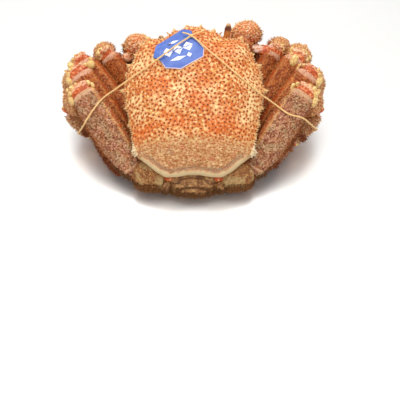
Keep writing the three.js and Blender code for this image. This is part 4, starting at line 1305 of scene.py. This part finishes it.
def smoothPath(points, step):  # even points on a round curve through the given ones
    spots = np.array(points, float) - (0, midway, 0)
    spots = np.vstack([2 * spots[0] - spots[1], spots, 2 * spots[-1] - spots[-2]])
    pieces = []
    for a, b, c, d in zip(spots, spots[1:], spots[2:], spots[3:]):
        t = np.linspace(0, 1, 40, endpoint=False)[:, None]
        k0, k1, k2 = (np.linalg.norm(gap) ** 0.5 for gap in (b - a, c - b, d - c))
        m1 = k1 * ((b - a) / k0 - (c - a) / (k0 + k1) + (c - b) / k1)
        m2 = k1 * ((c - b) / k1 - (d - b) / (k1 + k2) + (d - c) / k2)
        pieces.append((2 * t ** 3 - 3 * t ** 2 + 1) * b + (t ** 3 - 2 * t ** 2 + t) * m1
                      + (3 * t ** 2 - 2 * t ** 3) * c + (t ** 3 - t ** 2) * m2)
    line = np.vstack([*pieces, spots[-2:-1]])
    run = np.concatenate([[0], np.cumsum(np.linalg.norm(np.diff(line, axis=0), axis=1))])
    even = np.linspace(0, run[-1], max(4, round(run[-1] / step)) + 1)
    return np.stack([np.interp(even, run, line[:, k]) for k in range(3)], 1), run[-1]


def strandTube(name, line, radius, rounding):  # a closed tube along a line, in mm
    bpy.ops.object.select_all(action='DESELECT')
    curve = bpy.data.curves.new(name, 'CURVE')
    curve.dimensions = '3D'
    curve.bevel_depth = radius * mm
    curve.bevel_resolution = rounding
    curve.use_fill_caps = True
    spline = curve.splines.new('POLY')
    spline.points.add(len(line) - 1)
    spline.points.foreach_set('co', np.hstack([line * mm, np.ones((len(line), 1))]).ravel())
    piece = bpy.data.objects.new(name, curve)
    bpy.context.collection.objects.link(piece)
    selectOnly(piece)
    bpy.ops.object.convert(target='MESH')
    return bpy.context.object


def twisted(name, points):
    line, length = smoothPath(points, stringLook['step'])
    ahead = unit(np.gradient(line, axis=0))
    side = unit(np.cross(ahead, [0.3, 0.2, 1.0]))
    across = np.cross(ahead, side)
    run = np.linspace(0, length, len(line))[:, None]
    reach = stringLook['radius'] - stringLook['strandRadius']
    turns = [
        2 * math.pi * (run / stringLook['lay'] + strand / stringLook['strands'])
        for strand in range(stringLook['strands'])]
    return [strandTube(f'{name}Strand', line + reach * (side * np.cos(turn) + across * np.sin(turn)),
                       stringLook['strandRadius'], 1) for turn in turns], length


def dressString():
    parts, total = [], 0
    for name, points in (('loop', stringLook['route']), *(('end', end) for end in stringLook['ends'])):
        strands, length = twisted(name, points)
        parts += strands
        total += length
    turns = np.linspace(0, 2 * math.pi, 40)
    centre = np.array(stringLook['knot']) - (0, midway, 0)
    for tiltWay in stringLook['knotTurns']:
        flat = unit(np.cross(tiltWay, (0.1, -0.3, 1)))
        rise = unit(np.cross(tiltWay, flat))
        ring = np.outer(np.cos(turns), flat) + stringLook['squashed'] * np.outer(np.sin(turns), rise)
        parts.append(
            strandTube('knotTurn', centre + stringLook['knotRadius'] * ring, stringLook['knotStrand'], 2))
    finish = Finish('cotton', stringLook, IOR=1.45, Specular_IOR_Level=0.25, Sheen_Weight=0.2)
    fine = finish.place.noise(0.5, 3)
    material = finish.feed(
        finish.paint('pale', (fine.ramp(0.35, 0.7), 'deep')), fine, (0.7, 0.85), fine, 0.12)
    print('string length in mm', round(total))
    return settle(joined('cottonString', parts), material, 'string', 'string')


dressString()
print('string laid')

# floor
floorLook = {'pale': 'FCFCFB', 'grey': 'F8F8F6', 'side': 3.0}
bpy.ops.object.select_all(action='DESELECT')
bpy.ops.mesh.primitive_plane_add(size=floorLook['side'], location=(0, 0, 0))
floor = bpy.context.object
floor.name = 'paleFloor'
floorFinish = Finish('paleFloor', floorLook, Specular_IOR_Level=0.5, Metallic=0.7)
mottle = floorFinish.place.noise(60, 3)
floor.data.materials.append(floorFinish.feed(
    floorFinish.paint('pale', (mottle.ramp(0.3, 0.7), 'grey')), mottle, (0.36, 0.4),
    floorFinish.place.noise(1.5, 3), 0.004))
